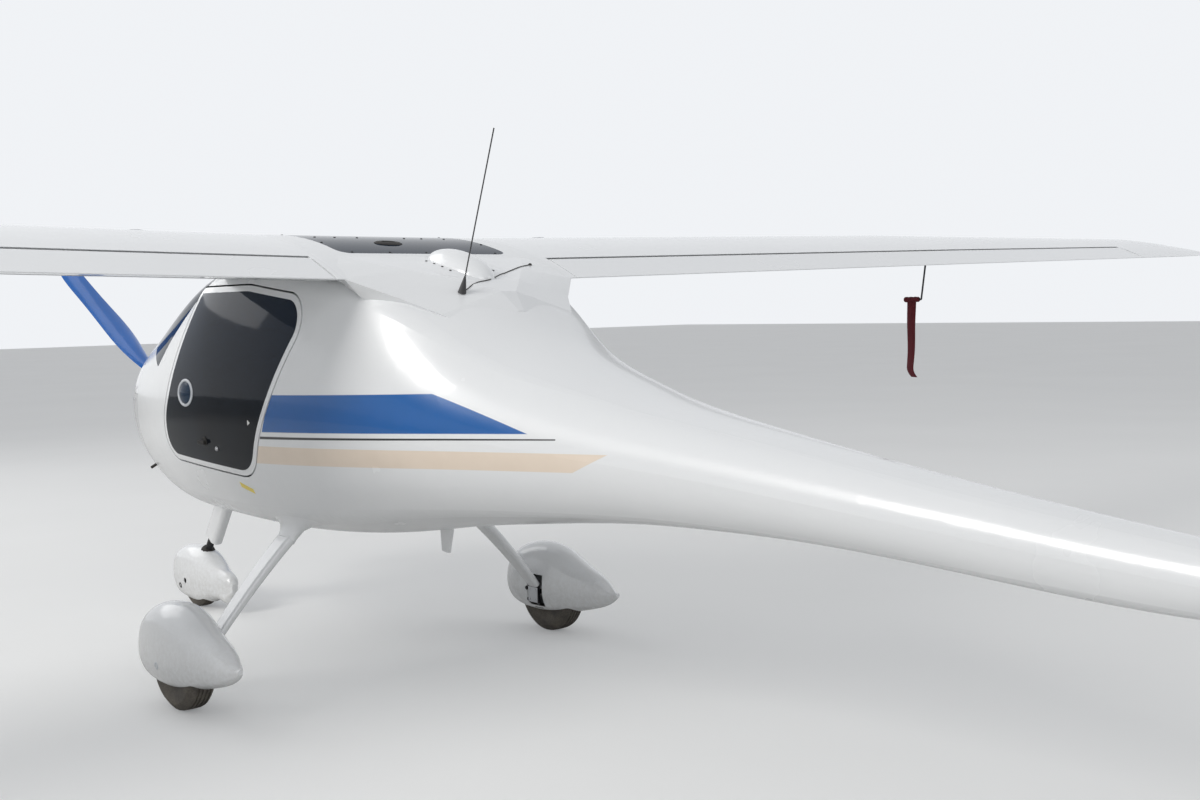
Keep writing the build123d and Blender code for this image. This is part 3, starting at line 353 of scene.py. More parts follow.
SEAL = rubber("seal_rubber", rgb(0.012, 0.012, 0.013), 0.15)
PALE_PLASTIC = plain("pale_plastic", rgb(0.45, 0.47, 0.5), 0.35, 300.0, 0.0002)
MARKING = plain("dial_marking", rgb(0.75, 0.75, 0.72), 0.5, 500.0, 0.0001)
VENT_GLASS = glazing("vent_glass", rgb(0.03, 0.06, 0.11), 0.8)
for entry in frame["record"]["subparts"]:
    dress([entry["node"]], FINISHES[entry["material_slot"]])
dress(["fuselage_shell"], shell_gelcoat())
dress(["left_spat", "right_spat", "nose_spat"], SPAT_GELCOAT)
dress(["roof_window"], glazing("roof_glazing", GLASS, 0.93, 0.08))
dress(["pitot_mast"], alloy("dulled_alloy", rgb(0.08, 0.08, 0.085), 0.45))

MIRROR = Matrix.Scale(-1.0, 4, (1.0, 0.0, 0.0))
OUTWARD = Vector((1.0, 0.0, 0.0))
UPWARD = Vector((0.0, 0.0, 1.0))


def deselect():
    """Leaves nothing selected, as every operator here needs."""
    for thing in list(bpy.context.selected_objects):
        thing.select_set(False)


def only(obj):
    """Selects one object and makes it the active one."""
    deselect()
    obj.select_set(True)
    bpy.context.view_layer.objects.active = obj


def primitive(kind, place=(0.0, 0.0, 0.0), scale=(1.0, 1.0, 1.0), **settings):
    """A primitive with its place and size in its mesh."""
    deselect()
    getattr(bpy.ops.mesh, f"primitive_{kind}_add")(location=place, **settings)
    obj = bpy.context.object
    obj.scale = scale
    bpy.ops.object.transform_apply(location=True, rotation=True, scale=True)
    return obj


def begin(obj, kind="FACE", action="DESELECT"):
    """Opens an object's mesh for editing."""
    only(obj)
    bpy.ops.object.mode_set(mode="EDIT")
    bpy.ops.mesh.select_mode(type=kind)
    bpy.ops.mesh.select_all(action=action)


def end():
    bpy.ops.object.mode_set(mode="OBJECT")


def pick_faces(obj, test):
    """Selects the faces whose middle and normal pass the test."""
    shape = bmesh.from_edit_mesh(obj.data)
    for face in shape.faces:
        face.select_set(test(face.calc_center_median(), face.normal))
    shape.select_flush_mode()
    bmesh.update_edit_mesh(obj.data)


def modify(obj, kind, **settings):
    """Adds a modifier and applies it."""
    only(obj)
    modifier = obj.modifiers.new(kind.lower(), kind)
    for key, value in settings.items():
        setattr(modifier, key, value)
    bpy.ops.object.modifier_apply(modifier=modifier.name)


def move(obj, change):
    """Moves a piece's mesh, and turns it right side out after a mirror."""
    obj.data.transform(change)
    if change.determinant() < 0:
        obj.data.flip_normals()
    return obj


def twin(obj, change=None):
    """A copy with its own mesh."""
    copy = obj.copy()
    copy.data = obj.data.copy()
    bpy.context.scene.collection.objects.link(copy)
    return move(copy, change) if change else copy


def joined(objects):
    """One object made of several."""
    only(objects[0])
    for obj in objects:
        obj.select_set(True)
    bpy.ops.object.join()
    return bpy.context.object


def coat(obj, finish):
    """Gives a new piece its finish."""
    obj.data.materials.clear()
    obj.data.materials.append(finish.material)
    return obj


def settle(obj, name, body, angle=35.0):
    """Names a finished piece and lets it ride its body."""
    only(obj)
    bpy.ops.object.shade_smooth_by_angle(angle=math.radians(angle))
    obj.name = name
    obj.data.name = name
    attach(obj, body)
    return obj


def both_sides(obj, name, body, angle=35.0):
    """A left piece and its mirrored right one. The body may be one of a pair."""
    other = twin(obj, MIRROR)
    first, second = body if isinstance(body, tuple) else (body, body)
    settle(obj, f"left_{name}", first, angle)
    settle(other, f"right_{name}", second, angle)
    return obj, other


def turned(profile, steps=40):
    """A solid turned about Z from a closed profile of (radius, height) points."""
    obj = primitive("circle", vertices=len(profile), radius=1.0)
    for vertex, (radius, height) in zip(obj.data.vertices, profile):
        vertex.co = (radius, 0.0, height)
    begin(obj, "EDGE", "SELECT")
    bpy.ops.mesh.spin(steps=steps, angle=2 * math.pi, center=(0, 0, 0), axis=(0, 0, 1))
    bpy.ops.mesh.select_all(action="SELECT")
    bpy.ops.mesh.remove_doubles(threshold=0.00002)
    bpy.ops.mesh.delete_loose()
    bpy.ops.mesh.select_all(action="SELECT")
    bpy.ops.mesh.normals_make_consistent(inside=False)
    end()
    return obj


def skin(node, start, direction):
    """Where a line from outside meets a CAD node, and the way out there."""
    hit, point, normal, _ = NODES[node].ray_cast(start, direction)
    if not hit:
        raise ValueError(f"nothing of {node} at {tuple(start)}")
    return point, normal if normal.dot(direction) < 0 else -normal


def side_skin(node, station, height):
    return skin(node, Vector((1.5, along(station), height)), -OUTWARD)


def top_skin(node, side, station):
    return skin(node, Vector((side, along(station), 3.0)), -UPWARD)


def stood(model, spot, sink=0.0005):
    """A copy of a small turned model, stood on a spot of a surface."""
    point, normal = spot
    turn = normal.to_track_quat("Z", "Y").to_matrix().to_4x4()
    return twin(model, Matrix.Translation(point - normal * sink) @ turn)


def lay_side(obj, node, sink=0.0008):
    """Lays a drawing on the body's side: X is along the stations, Y is up, Z its height."""
    for vertex in obj.data.vertices:
        station, height, proud = vertex.co
        point, normal = side_skin(node, station, height)
        vertex.co = point + normal * (proud - sink)
    return obj


def lay_top(obj, node, sink=0.0008):
    """Lays a drawing on the top: X is across, Y is along the stations, Z its height."""
    for vertex in obj.data.vertices:
        side, station, proud = vertex.co
        point, normal = top_skin(node, side, station)
        vertex.co = point + normal * (proud - sink)
    return obj


def right_side_out(obj):
    begin(obj, "FACE", "SELECT")
    bpy.ops.mesh.normals_make_consistent(inside=False)
    end()
    return obj


def plate(width, height, thick, bevel, place=(0.0, 0.0, 0.0)):
    """A small bevelled plate on the XY plane, its upper edge inset."""
    middle = (place[0], place[1], place[2] + thick / 2)
    obj = primitive("cube", middle, (width, height, thick), size=1.0)
    begin(obj)
    pick_faces(obj, lambda middle, normal: normal.z > 0.9)
    bpy.ops.mesh.inset(thickness=bevel, depth=0.0)
    end()
    modify(obj, "BEVEL", width=bevel * 0.45, segments=2, limit_method="ANGLE")
    return obj


def strap(points, side, width, thick, columns=1):
    """A flat strap along points; side is the way across it."""
    obj = primitive("grid", x_subdivisions=columns, y_subdivisions=len(points) - 1, size=1.0)
    across = Vector(side).normalized()
    for number, vertex in enumerate(obj.data.vertices):
        row, column = divmod(number, columns + 1)
        vertex.co = Vector(points[row]) + across * width * (column / columns - 0.5)
    modify(obj, "SOLIDIFY", thickness=thick, offset=0.0)
    modify(obj, "BEVEL", width=thick * 0.3, segments=1, limit_method="ANGLE")
    return right_side_out(obj)


def curve_points(corners, count):
    """Points evenly spread on a smooth line through the corners."""
    corners = [Vector(corner) for corner in corners]
    padded = [corners[0] * 2 - corners[1]] + corners + [corners[-1] * 2 - corners[-2]]
    points = []
    spans = len(corners) - 1
    for number in range(count):
        place = number * spans / (count - 1)
        span = min(int(place), spans - 1)
        t = place - span
        a, b, c, d = padded[span : span + 4]
        square = 2 * a - 5 * b + 4 * c - d
        cube = 3 * b - a - 3 * c + d
        points.append(0.5 * (2 * b + (c - a) * t + square * t**2 + cube * t**3))
    return points


def frame_on(origin, forward, up):
    """A matrix that puts a flat drawing at origin: its Y goes forward and its Z up."""
    y = Vector(forward).normalized()
    z = (Vector(up) - y * Vector(up).dot(y)).normalized()
    x = y.cross(z)
    return Matrix.Translation(origin) @ Matrix((x, y, z)).transposed().to_4x4()


# The body, outer radius, rim radius and width of each tyre
TYRES = {
    "left_tyre": ("left_wheel", 0.165, 0.078, 0.105),
    "right_tyre": ("right_wheel", 0.165, 0.078, 0.105),
    "nose_tyre": ("nose_wheel", 0.125, 0.052, 0.088),
}
GROOVES = (-0.40, -0.14, 0.14, 0.40)
GROOVE_DEPTH = 0.004
TREAD_STEPS = 96


def tyre_section(radius, rim, width):
    """A tyre's closed section as (radius, side) points."""
    half = width / 2
    tread = [(radius - 0.011, -half * 0.74), (radius - 0.003, -half * 0.60)]
    for middle in GROOVES:
        low, high = half * (middle - 0.05), half * (middle + 0.05)
        crown = radius - 0.0025 * abs(middle)
        floor = crown - GROOVE_DEPTH
        tread += [(crown, low - 0.0008), (floor, low), (floor, high), (crown, high + 0.0008)]
    tread += [(radius - 0.003, half * 0.60), (radius - 0.011, half * 0.74)]
    wall = [(radius - 0.026, half * 0.95), (radius - 0.045, half * 0.985)]
    wall += [(rim + 0.012, half * 0.86), (rim + 0.0005, half * 0.68)]
    bead = [(rim + 0.004, half * 0.5), (rim + 0.004, -half * 0.5)]
    return tread + wall + bead + [(r, -z) for r, z in reversed(wall)]


def build_tyres():
    """A tyre with four grooves for each wheel, in place of the plain solids."""
    turn = Matrix.Rotation(math.pi / 2, 4, "Y")
    for name, (body, radius, rim, width) in TYRES.items():
        low, high = (Vector(corner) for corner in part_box(name))
        tyre = turned(tyre_section(radius, rim, width), TREAD_STEPS)
        middle = Matrix.Translation((low + high) / 2)
        move(coat(tyre, FINISHES["tyre_rubber"]), middle @ turn)
        settle(tyre, f"{name}_treaded", body, 30.0)
        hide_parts(name)


# The left seat: where its base and its back start, the way each goes, and its padding
SEAT_MIDDLE = 0.228
BASE_START = (SEAT_MIDDLE, along(1.580), 0.720)
BASE_WAY = (0, 0.392, -0.042)
BACK_START = (SEAT_MIDDLE, along(2.028), 0.715)
BACK_WAY = (0, 0.262, 0.538)
PAD_VOXEL = 0.006
PAD_PRESSURE = 4.0
PAD_SWELL = 0.014
CLOTH_FRAMES = 20
CHANNEL_DEPTH = 0.009
WEB_WIDTH = 0.045
WEB_THICKNESS = 0.0022
BUCKLE = (SEAT_MIDDLE, along(1.915), 0.780)


def swell(obj):
    """Blows a padded block up by cloth pressure; its flat underside stays."""
    modify(obj, "REMESH", mode="VOXEL", voxel_size=PAD_VOXEL)
    start = [vertex.co.copy() for vertex in obj.data.vertices]
    held = obj.vertex_groups.new(name="underside")
    held.add([v.index for v in obj.data.vertices if v.co.z < 0.004], 1.0, "REPLACE")
    only(obj)
    modifier = obj.modifiers.new("cloth", "CLOTH")
    modifier.settings.vertex_group_mass = "underside"
    modifier.settings.use_pressure = True
    modifier.settings.uniform_pressure_force = PAD_PRESSURE
    modifier.settings.effector_weights.gravity = 0.0
    for number in range(1, CLOTH_FRAMES + 1):
        bpy.context.scene.frame_set(number)
    bpy.ops.object.modifier_apply(modifier=modifier.name)
    bpy.context.scene.frame_set(1)
    for vertex, place in zip(obj.data.vertices, start):
        step = vertex.co - place
        if step.length > PAD_SWELL:
            vertex.co = place + step * (PAD_SWELL / step.length)
    obj.vertex_groups.clear()
    modify(obj, "SUBSURF", levels=1, render_levels=1)


def cushion(width, length, thick, bolster, channels):
    """A seat pad on the XY plane, from Y 0: raised sides, crowned, with sewn channels."""
    obj = primitive("cube", (0.0, length / 2, thick / 2), (width, length, thick), size=1.0)
    begin(obj, "FACE", "SELECT")
    bpy.ops.mesh.subdivide(number_cuts=9)
    end()
    for vertex in obj.data.vertices:
        if vertex.co.z > thick / 2:
            edge = abs(vertex.co.x) / (width / 2)
            vertex.co.z += bolster * max(0.0, (edge - 0.55) / 0.45) ** 2 * (3 - 2 * edge)
    modify(obj, "BEVEL", width=0.012, segments=3, limit_method="ANGLE")
    swell(obj)
    for vertex in obj.data.vertices:
        if vertex.co.z > thick * 0.55:
            depth = sum(math.exp(-(((vertex.co.y - line) / 0.006) ** 2)) for line in channels)
            depth += math.exp(-(((abs(vertex.co.x) - width * 0.31) / 0.005) ** 2))
            vertex.co.z -= CHANNEL_DEPTH * min(1.0, depth)
    return coat(obj, FINISHES["seat_fabric"])


def tray(width, length, thick, lip):
    """A moulded seat panel on the XY plane with a raised lip."""
    obj = primitive("cube", (0.0, length / 2, -thick / 2), (width, length, thick), size=1.0)
    begin(obj)
    pick_faces(obj, lambda middle, normal: normal.z > 0.9)
    bpy.ops.mesh.inset(thickness=lip, depth=-lip * 0.6)
    end()
    modify(obj, "BEVEL", width=0.008, segments=3, limit_method="ANGLE")
    return coat(obj, FINISHES["dark_plastic"])


def build_seats():
    """Two pads and a moulded tray for each seat, in place of the plain solids."""
    base = frame_on(BASE_START, BASE_WAY, UPWARD)
    back = frame_on(BACK_START, BACK_WAY, (0, -1, 0.4))
    lines = (0.125, 0.25)
    base_pad = cushion(width=0.325, length=0.375, thick=0.052, bolster=0.018, channels=lines)
    move(base_pad, base)
    lines = (0.14, 0.28, 0.42)
    back_pad = cushion(width=0.345, length=0.545, thick=0.058, bolster=0.020, channels=lines)
    move(back_pad, back)
    stool_place = (SEAT_MIDDLE - 0.045, along(1.80), 0.640)
    stool = primitive("cube", stool_place, (0.23, 0.28, 0.11), size=1.0)
    begin(stool)
    pick_faces(stool, lambda place, normal: abs(normal.x) > 0.9)
    bpy.ops.mesh.inset(thickness=0.03, depth=-0.012)
    end()
    modify(stool, "BEVEL", width=0.015, segments=3, limit_method="ANGLE")
    coat(stool, FINISHES["dark_plastic"])
    base_tray = move(tray(width=0.335, length=0.39, thick=0.030, lip=0.010), base)
    back_tray = move(tray(width=0.36, length=0.57, thick=0.030, lip=0.010), back)
    shell = joined([stool, base_tray, back_tray])
    for pad, name in ((base_pad, "seat_base_pad"), (back_pad, "seat_back_pad")):
        pieces = both_sides(pad, name, "airframe", 60.0)
        for piece, node in zip(pieces, ("left_seat", "right_seat")):
            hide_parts(node)
    both_sides(shell, "seat_tray", "airframe")


def build_harnesses():
    """Two shoulder straps, two lap straps and a round buckle for each seat."""
    straps = []
    for offset in (-0.085, 0.085):
        x = SEAT_MIDDLE + offset * 0.8
        corners = (
            (SEAT_MIDDLE + offset * 0.5, along(2.296), 1.270),
            (SEAT_MIDDLE + offset * 0.7, along(2.205), 1.268),
            (x, along(2.140), 1.120),
            (x, along(2.055), 0.960),
            (SEAT_MIDDLE + offset * 0.5, along(1.955), 0.815),
            (SEAT_MIDDLE + offset * 0.25, along(1.915), 0.785),
        )
        straps.append(strap(curve_points(corners, 26), (1, 0, 0), WEB_WIDTH, WEB_THICKNESS, 2))
    for side in (-1, 1):
        corners = (
            (SEAT_MIDDLE + side * 0.196, along(1.965), 0.690),
            (SEAT_MIDDLE + side * 0.185, along(1.950), 0.780),
            (SEAT_MIDDLE + side * 0.120, along(1.925), 0.788),
            (SEAT_MIDDLE + side * 0.015, along(1.915), 0.780),
        )
        straps.append(strap(curve_points(corners, 14), (0, 1, 0.15), WEB_WIDTH, WEB_THICKNESS, 2))
    webbing = coat(joined(straps), WEB)
    both_sides(webbing, "harness", "airframe")
    profile = ((0, 0), (0.027, 0), (0.029, 0.004), (0.027, 0.012), (0.016, 0.016), (0, 0.016))
    buckle = coat(turned(profile, 24), FINISHES["bare_alloy"])
    move(buckle, frame_on(BUCKLE, (0, 1, -0.2), UPWARD))
    both_sides(buckle, "harness_buckle", "airframe")


# Instrument panel: the lower edge of its sloping face, and how far it goes back and up
PANEL_EDGE_STATION = 1.2355
PANEL_EDGE_HEIGHT = 0.960
PANEL_RUN = 0.025
PANEL_RISE = 0.190
DIAL_ROWS = (1.100, 1.005)
DIAL_COLUMNS = (0.34, 0.25, 0.16, -0.16, -0.25)
# The place, height, width and tallness of each screen
SCREENS = ((0.0, 1.085, 0.19, 0.11), (-0.345, 1.05, 0.07, 0.16))
SWITCH_COUNT = 9
SWITCH_PITCH = 0.025
SWITCH_HEIGHT = 0.985


def panel_face(x, height):
    """A matrix that stands a drawing on the panel's face."""
    slope = Vector((0.0, PANEL_RISE, -PANEL_RUN)).normalized()
    rise = Vector((0.0, PANEL_RUN, PANEL_RISE)).normalized()
    part = (height - PANEL_EDGE_HEIGHT) / PANEL_RISE
    station = PANEL_EDGE_STATION + PANEL_RUN * part
    return frame_on((x, along(station), height), rise, slope)


def dial():
    """A round instrument with twelve marks and a pointer."""
    ring = ((0.034, 0.0), (0.041, 0.0), (0.041, 0.006), (0.038, 0.009), (0.0345, 0.007))
    ring += ((0.034, 0.003),)
    bezel = coat(turned(ring, 36), FINISHES["dark_plastic"])
    glass = coat(turned(((0, 0), (0.034, 0), (0.034, 0.003), (0, 0.0035)), 36), SEAL)
    marks = []
    for number in range(12):
        mark = primitive("cube", (0.0, 0.0285, 0.0036), (0.0016, 0.006, 0.0008), size=1.0)
        move(mark, Matrix.Rotation(number * math.pi / 6, 4, "Z"))
        marks.append(mark)
    pointer = primitive("cone", (0.0, 0.011, 0.0045), vertices=3, radius1=0.0035, depth=0.001)
    pointer.data.transform(Matrix.Diagonal((0.5, 4.0, 1.0, 1.0)))
    move(pointer, Matrix.Translation((0.0, -0.03, 0.0)) @ Matrix.Rotation(0.6, 4, "Z"))
    scale = coat(joined(marks + [pointer]), MARKING)
    return joined([bezel, glass, scale])


def build_panel():
    """Round instruments, two screens and a row of switches on the panel's face."""
    model = dial()
    dials = [twin(model, panel_face(x, height)) for height in DIAL_ROWS for x in DIAL_COLUMNS]
    bpy.data.objects.remove(model)
    settle(joined(dials), "panel_dials", "airframe")

    screens = []
    for x, height, wide, tall in SCREENS:
        bezel = coat(plate(wide, tall, 0.010, 0.008), FINISHES["dark_plastic"])
        pane = coat(plate(wide - 0.026, tall - 0.026, 0.012, 0.002), VENT_GLASS)
        screens += [move(part, panel_face(x, height)) for part in (bezel, pane)]
    settle(joined(screens), "panel_screens", "airframe")

    profile = ((0, 0), (0.007, 0), (0.007, 0.003), (0.004, 0.004), (0, 0.004))
    base = coat(turned(profile, 12), FINISHES["bare_alloy"])
    taper = {"vertices": 10, "radius1": 0.0018, "radius2": 0.003, "depth": 0.016}
    lever = primitive("cone", (0.0, 0.003, 0.011), **taper)
    switch = joined([base, coat(lever, FINISHES["bare_alloy"])])
    places = (-0.1 + SWITCH_PITCH * number for number in range(SWITCH_COUNT))
    row = [twin(switch, panel_face(x, SWITCH_HEIGHT)) for x in places]
    bpy.data.objects.remove(switch)
    settle(joined(row), "panel_switches", "airframe")

    grip = ((0, 0), (0.015, 0), (0.018, 0.02), (0.016, 0.05), (0.019, 0.09), (0.017, 0.115))
    grip += ((0, 0.122),)
    grip = move(coat(turned(grip, 24), SEAL), Matrix.Translation((0.0, along(1.48), 0.800)))
    settle(grip, "stick_grip", "airframe")


# What is on each door's pane
VENT_PLACE = (1.639, 1.035)
VENT_HALF_LENGTH = 0.070
VENT_HALF_HEIGHT = 0.051
LATCH_PLACE = (1.782, 0.865)
LOCK_PLACE = (1.869, 0.842)
TAB_PLACE = (2.133, 0.948)
DOORS = ("left_door", "right_door")


def on_pane(profile, long, high, place):
    """A turned piece of radius 1, drawn out to an oval and laid on the left door's pane."""
    obj = turned(profile, 40)
    obj.data.transform(Matrix.Diagonal((long, high, 1.0, 1.0)))
    move(obj, Matrix.Translation((*place, 0.0)))
    return right_side_out(lay_side(obj, "left_door_pane"))


def build_doors():
    """The vent, latch, lock and small tab on each door's pane."""
    rim = ((0.80, 0.0), (1.0, 0.0), (1.0, 0.0022), (0.94, 0.0046), (0.84, 0.0046), (0.80, 0.002))
    lid = ((0.0, 0.0), (0.3, 0.0), (0.6, 0.0), (0.78, 0.0), (0.78, 0.0018), (0.6, 0.006))
    lid += ((0.3, 0.009), (0.0, 0.010))
    rim = coat(on_pane(rim, VENT_HALF_LENGTH, VENT_HALF_HEIGHT, VENT_PLACE), PALE_PLASTIC)
    both_sides(rim, "vent_rim", DOORS)
    lid = coat(on_pane(lid, VENT_HALF_LENGTH, VENT_HALF_HEIGHT, VENT_PLACE), VENT_GLASS)
    both_sides(lid, "vent_scoop", DOORS)

    base = ((0.0, 0.0), (1.0, 0.0), (1.0, 0.003), (0.8, 0.006), (0.0, 0.006))
    latch_base = on_pane(base, 0.017, 0.017, LATCH_PLACE)
    lever_place = (LATCH_PLACE[0] - 0.012, LATCH_PLACE[1] - 0.003, 0.004)
    lever = plate(0.052, 0.014, 0.011, 0.003, lever_place)
    lever = right_side_out(lay_side(lever, "left_door_pane"))
    both_sides(coat(joined([latch_base, lever]), SEAL), "door_latch", DOORS)
    lock = on_pane(base, 0.008, 0.008, LOCK_PLACE)
    both_sides(coat(lock, FINISHES["bare_alloy"]), "door_lock", DOORS)

    wedge = {"vertices": 3, "radius1": 0.012, "radius2": 0.009, "depth": 0.002}
    tab = primitive("cone", (0.0, 0.0, 0.001), **wedge)
    move(tab, Matrix.Translation((*TAB_PLACE, 0.0)) @ Matrix.Rotation(-math.pi / 2, 4, "Z"))
    tab = right_side_out(lay_side(tab, "left_door_pane"))
    both_sides(coat(tab, MARKING), "door_tab", DOORS)


# Roof screws: places across the window's rows and along its sides, and beside the dome
MIDDLE_SCREWS = (0.285, 0.205, 0.113, -0.087, -0.163, -0.264)
MIDDLE_SCREW_STATION = 2.165
END_SCREWS = (-0.3, -0.15, 0.0, 0.15, 0.3)
END_SCREW_STATIONS = (1.803, 2.433)
SIDE_SCREWS = (-0.337, 0.337)
SIDE_SCREW_STATIONS = (1.90, 2.03, 2.30)
DOME_SCREWS = (-0.089, 0.089)
DOME_SCREW_STATIONS = (2.560, 2.606, 2.652, 2.698)
ROOF_VENT_PLACE = (0.070, 2.300)
# The whip antenna's painted shadow, a thin black line: its way over the skin
WHIP_SHADOW_PLACES = ((0.146, 2.845), (0.120, 2.838), (0.099, 2.830), (0.057, 2.811), (0.026, 2.803))
WHIP_SHADOW_PLACES += ((-0.001, 2.794), (-0.043, 2.768), (-0.085, 2.739), (-0.129, 2.711))
WHIP_SHADOW_PLACES += ((-0.173, 2.682), (-0.217, 2.655), (-0.261, 2.627), (-0.302, 2.603))
WHIP_SHADOW_PLACES += ((-0.344, 2.579),)
WHIP_SHADOW_RADIUS = 0.0016
FUEL_CAP_PLACE = (0.86, 1.98)


def build_roof():
    """Screws and a vent on the roof."""
    head = ((0, 0), (0.0045, 0), (0.0045, 0.0012), (0.003, 0.0026), (0.0012, 0.0026))
    head += ((0.0012, 0.0016), (0, 0.0016))
    screw = coat(turned(head, 12), SEAL)
    places = [(x, MIDDLE_SCREW_STATION) for x in MIDDLE_SCREWS]
    places += [(x, station) for station in END_SCREW_STATIONS for x in END_SCREWS]
    places += [(x, station) for x in SIDE_SCREWS for station in SIDE_SCREW_STATIONS]
    spots = [top_skin("roof_window", *place) for place in places]
    places = [(x, station) for x in DOME_SCREWS for station in DOME_SCREW_STATIONS]
    spots += [top_skin("fuselage_shell", *place) for place in places]
    screws = joined([stood(screw, spot) for spot in spots])
    settle(screws, "roof_screws", "airframe")
    bpy.data.objects.remove(screw)

    profile = ((0, 0), (0.5, 0), (1, 0), (1, 0.0025), (0.85, 0.006), (0.55, 0.0075))
    profile += ((0.5, 0.004), (0, 0.004))
    vent = turned(profile, 32)
    vent.data.transform(Matrix.Diagonal((0.055, 0.032, 1.0, 1.0)))
    move(vent, Matrix.Translation((*ROOF_VENT_PLACE, 0.0)))
    vent = right_side_out(lay_top(vent, "roof_window"))
    settle(coat(vent, SEAL), "roof_vent", "airframe")


def build_whip_shadow():
    """A thin black line laid on the skin as the whip antenna's painted shadow, with a black dot at
    its end.
    """
    line = []
    for place in WHIP_SHADOW_PLACES:
        point, normal = top_skin("fuselage_shell", *place)
        line.append(point + normal * 0.0014)
    curve = bpy.data.curves.new("whip_shadow_line", "CURVE")
    curve.dimensions = "3D"
    curve.bevel_depth = WHIP_SHADOW_RADIUS
    curve.bevel_resolution = 3
    curve.resolution_u = 6
    curve.use_fill_caps = True
    spline = curve.splines.new("NURBS")
    spline.points.add(len(line) - 1)
    for spot, point in zip(spline.points, line):
        spot.co = (*point, 1.0)
    spline.order_u = 3
    spline.use_endpoint_u = True
    shadow_strip = bpy.data.objects.new("whip_shadow_line", curve)
    bpy.context.scene.collection.objects.link(shadow_strip)
    only(shadow_strip)
    bpy.ops.object.convert(target="MESH")
    settle(coat(bpy.context.object, SEAL), "whip_shadow_line", "airframe", 60.0)
    # A black dot at the end of the painted shadow line
    profile = ((0, 0), (0.007, 0), (0.007, 0.002), (0.004, 0.006), (0, 0.007))
    shadow_dot = coat(turned(profile, 16), SEAL)
    shadow_dot_laid = stood(shadow_dot, top_skin("fuselage_shell", *WHIP_SHADOW_PLACES[-1]))
    settle(shadow_dot_laid, "whip_shadow_end", "airframe")
    bpy.data.objects.remove(shadow_dot)


def build_fuel_caps():
    """A round cap on the top of each wing."""
    profile = ((0, 0), (0.034, 0), (0.034, 0.0015), (0.030, 0.004), (0.022, 0.0045))
    profile += ((0.020, 0.002), (0.006, 0.002), (0.005, 0.005), (0, 0.0055))
    cap = coat(turned(profile, 32), FINISHES["bare_alloy"])
    left_cap = stood(cap, top_skin("left_wing", *FUEL_CAP_PLACE))
    bpy.data.objects.remove(cap)
    both_sides(left_cap, "fuel_cap", "airframe")


# What is on the wheel covers, and the plate where the left axle meets its leg
SPAT_BOLTS = ((2.049, 0.178), (2.146, 0.180), (2.052, 0.131), (2.143, 0.132))
# Where a black plate of painted shade stands for the spat's slot
SLOT_SHADE_PLACE = (2.100, 0.110)
AXLE_CAP_PLACE = (2.085, 0.160)
# Where a black disc of painted shade stands for the nose spat's hole
NOSE_HOLE_SHADE_PLACE = (0.500, 0.096)
HUB_PLACE = (0.7002, along(2.100), 0.158)
# The steering axis: its rake, a point on it and how far up from there the boot stands
STEERING_RAKE = math.radians(36.0)
STEERING_FOOT = (0.0, along(0.545), 0.125)
BOOT_RISE = 0.163
# The left main leg's axis: a point on it, and how far it runs out and down from there
LEG_ROOT = (0.372, along(2.102), 0.553)
LEG_RUN = 0.200
LEG_DROP = 0.187


def inner_skin(node, station, height):
    """The side of a left node that faces the body."""
    return skin(node, Vector((0.3, along(station), height)), OUTWARD)


def build_spat_trim():
    """Bolts, an axle cap, and black pieces as painted shade in the spat's slot and the nose spat's
    hole.
    """
    bolt = primitive("cylinder", (0.0, 0.0, 0.0025), vertices=6, radius=0.0065, depth=0.005)
    begin(bolt)
    pick_faces(bolt, lambda middle, normal: normal.z > 0.9)
    bpy.ops.mesh.inset(thickness=0.0012, depth=0.0008)
    end()
    washer = turned(((0, 0), (0.009, 0), (0.009, 0.0014), (0, 0.0014)), 16)
    bolt = coat(joined([bolt, washer]), FINISHES["gear_steel"])
    spots = [inner_skin("left_spat", *place) for place in SPAT_BOLTS]
    bolts = joined([stood(bolt, spot) for spot in spots])
    both_sides(bolts, "spat_bolts", "airframe")
    bpy.data.objects.remove(bolt)

    # The slot's dark inside, as a black plate of painted shade
    slot = plate(0.052, 0.022, 0.0016, 0.003)
    move(slot, Matrix.Translation((*SLOT_SHADE_PLACE, 0.0)))
    for vertex in slot.data.vertices:
        station, height, proud = vertex.co
        point, normal = inner_skin("left_spat", station, height)
        vertex.co = point + normal * (proud - 0.0008)
    both_sides(coat(right_side_out(slot), SEAL), "spat_slot_shade", "airframe")

    plug = ((0, 0.0004), (0.006, 0.0004), (0.008, 0.0022), (0.0115, 0.0022), (0.013, 0.001))
    plug += ((0.013, -0.002), (0, -0.002))
    cap = coat(turned(plug, 24), PALE_PLASTIC)
    left_cap = stood(cap, side_skin("left_spat", *AXLE_CAP_PLACE))
    both_sides(left_cap, "axle_cap", "airframe")
    bpy.data.objects.remove(cap)
    # The hole's dark inside, as a black disc of painted shade
    hole = coat(turned(plug, 24), SEAL)
    left_hole = stood(hole, side_skin("nose_spat", *NOSE_HOLE_SHADE_PLACE))
    both_sides(left_hole, "nose_axle_hole_shade", "nose_fork")
    bpy.data.objects.remove(hole)


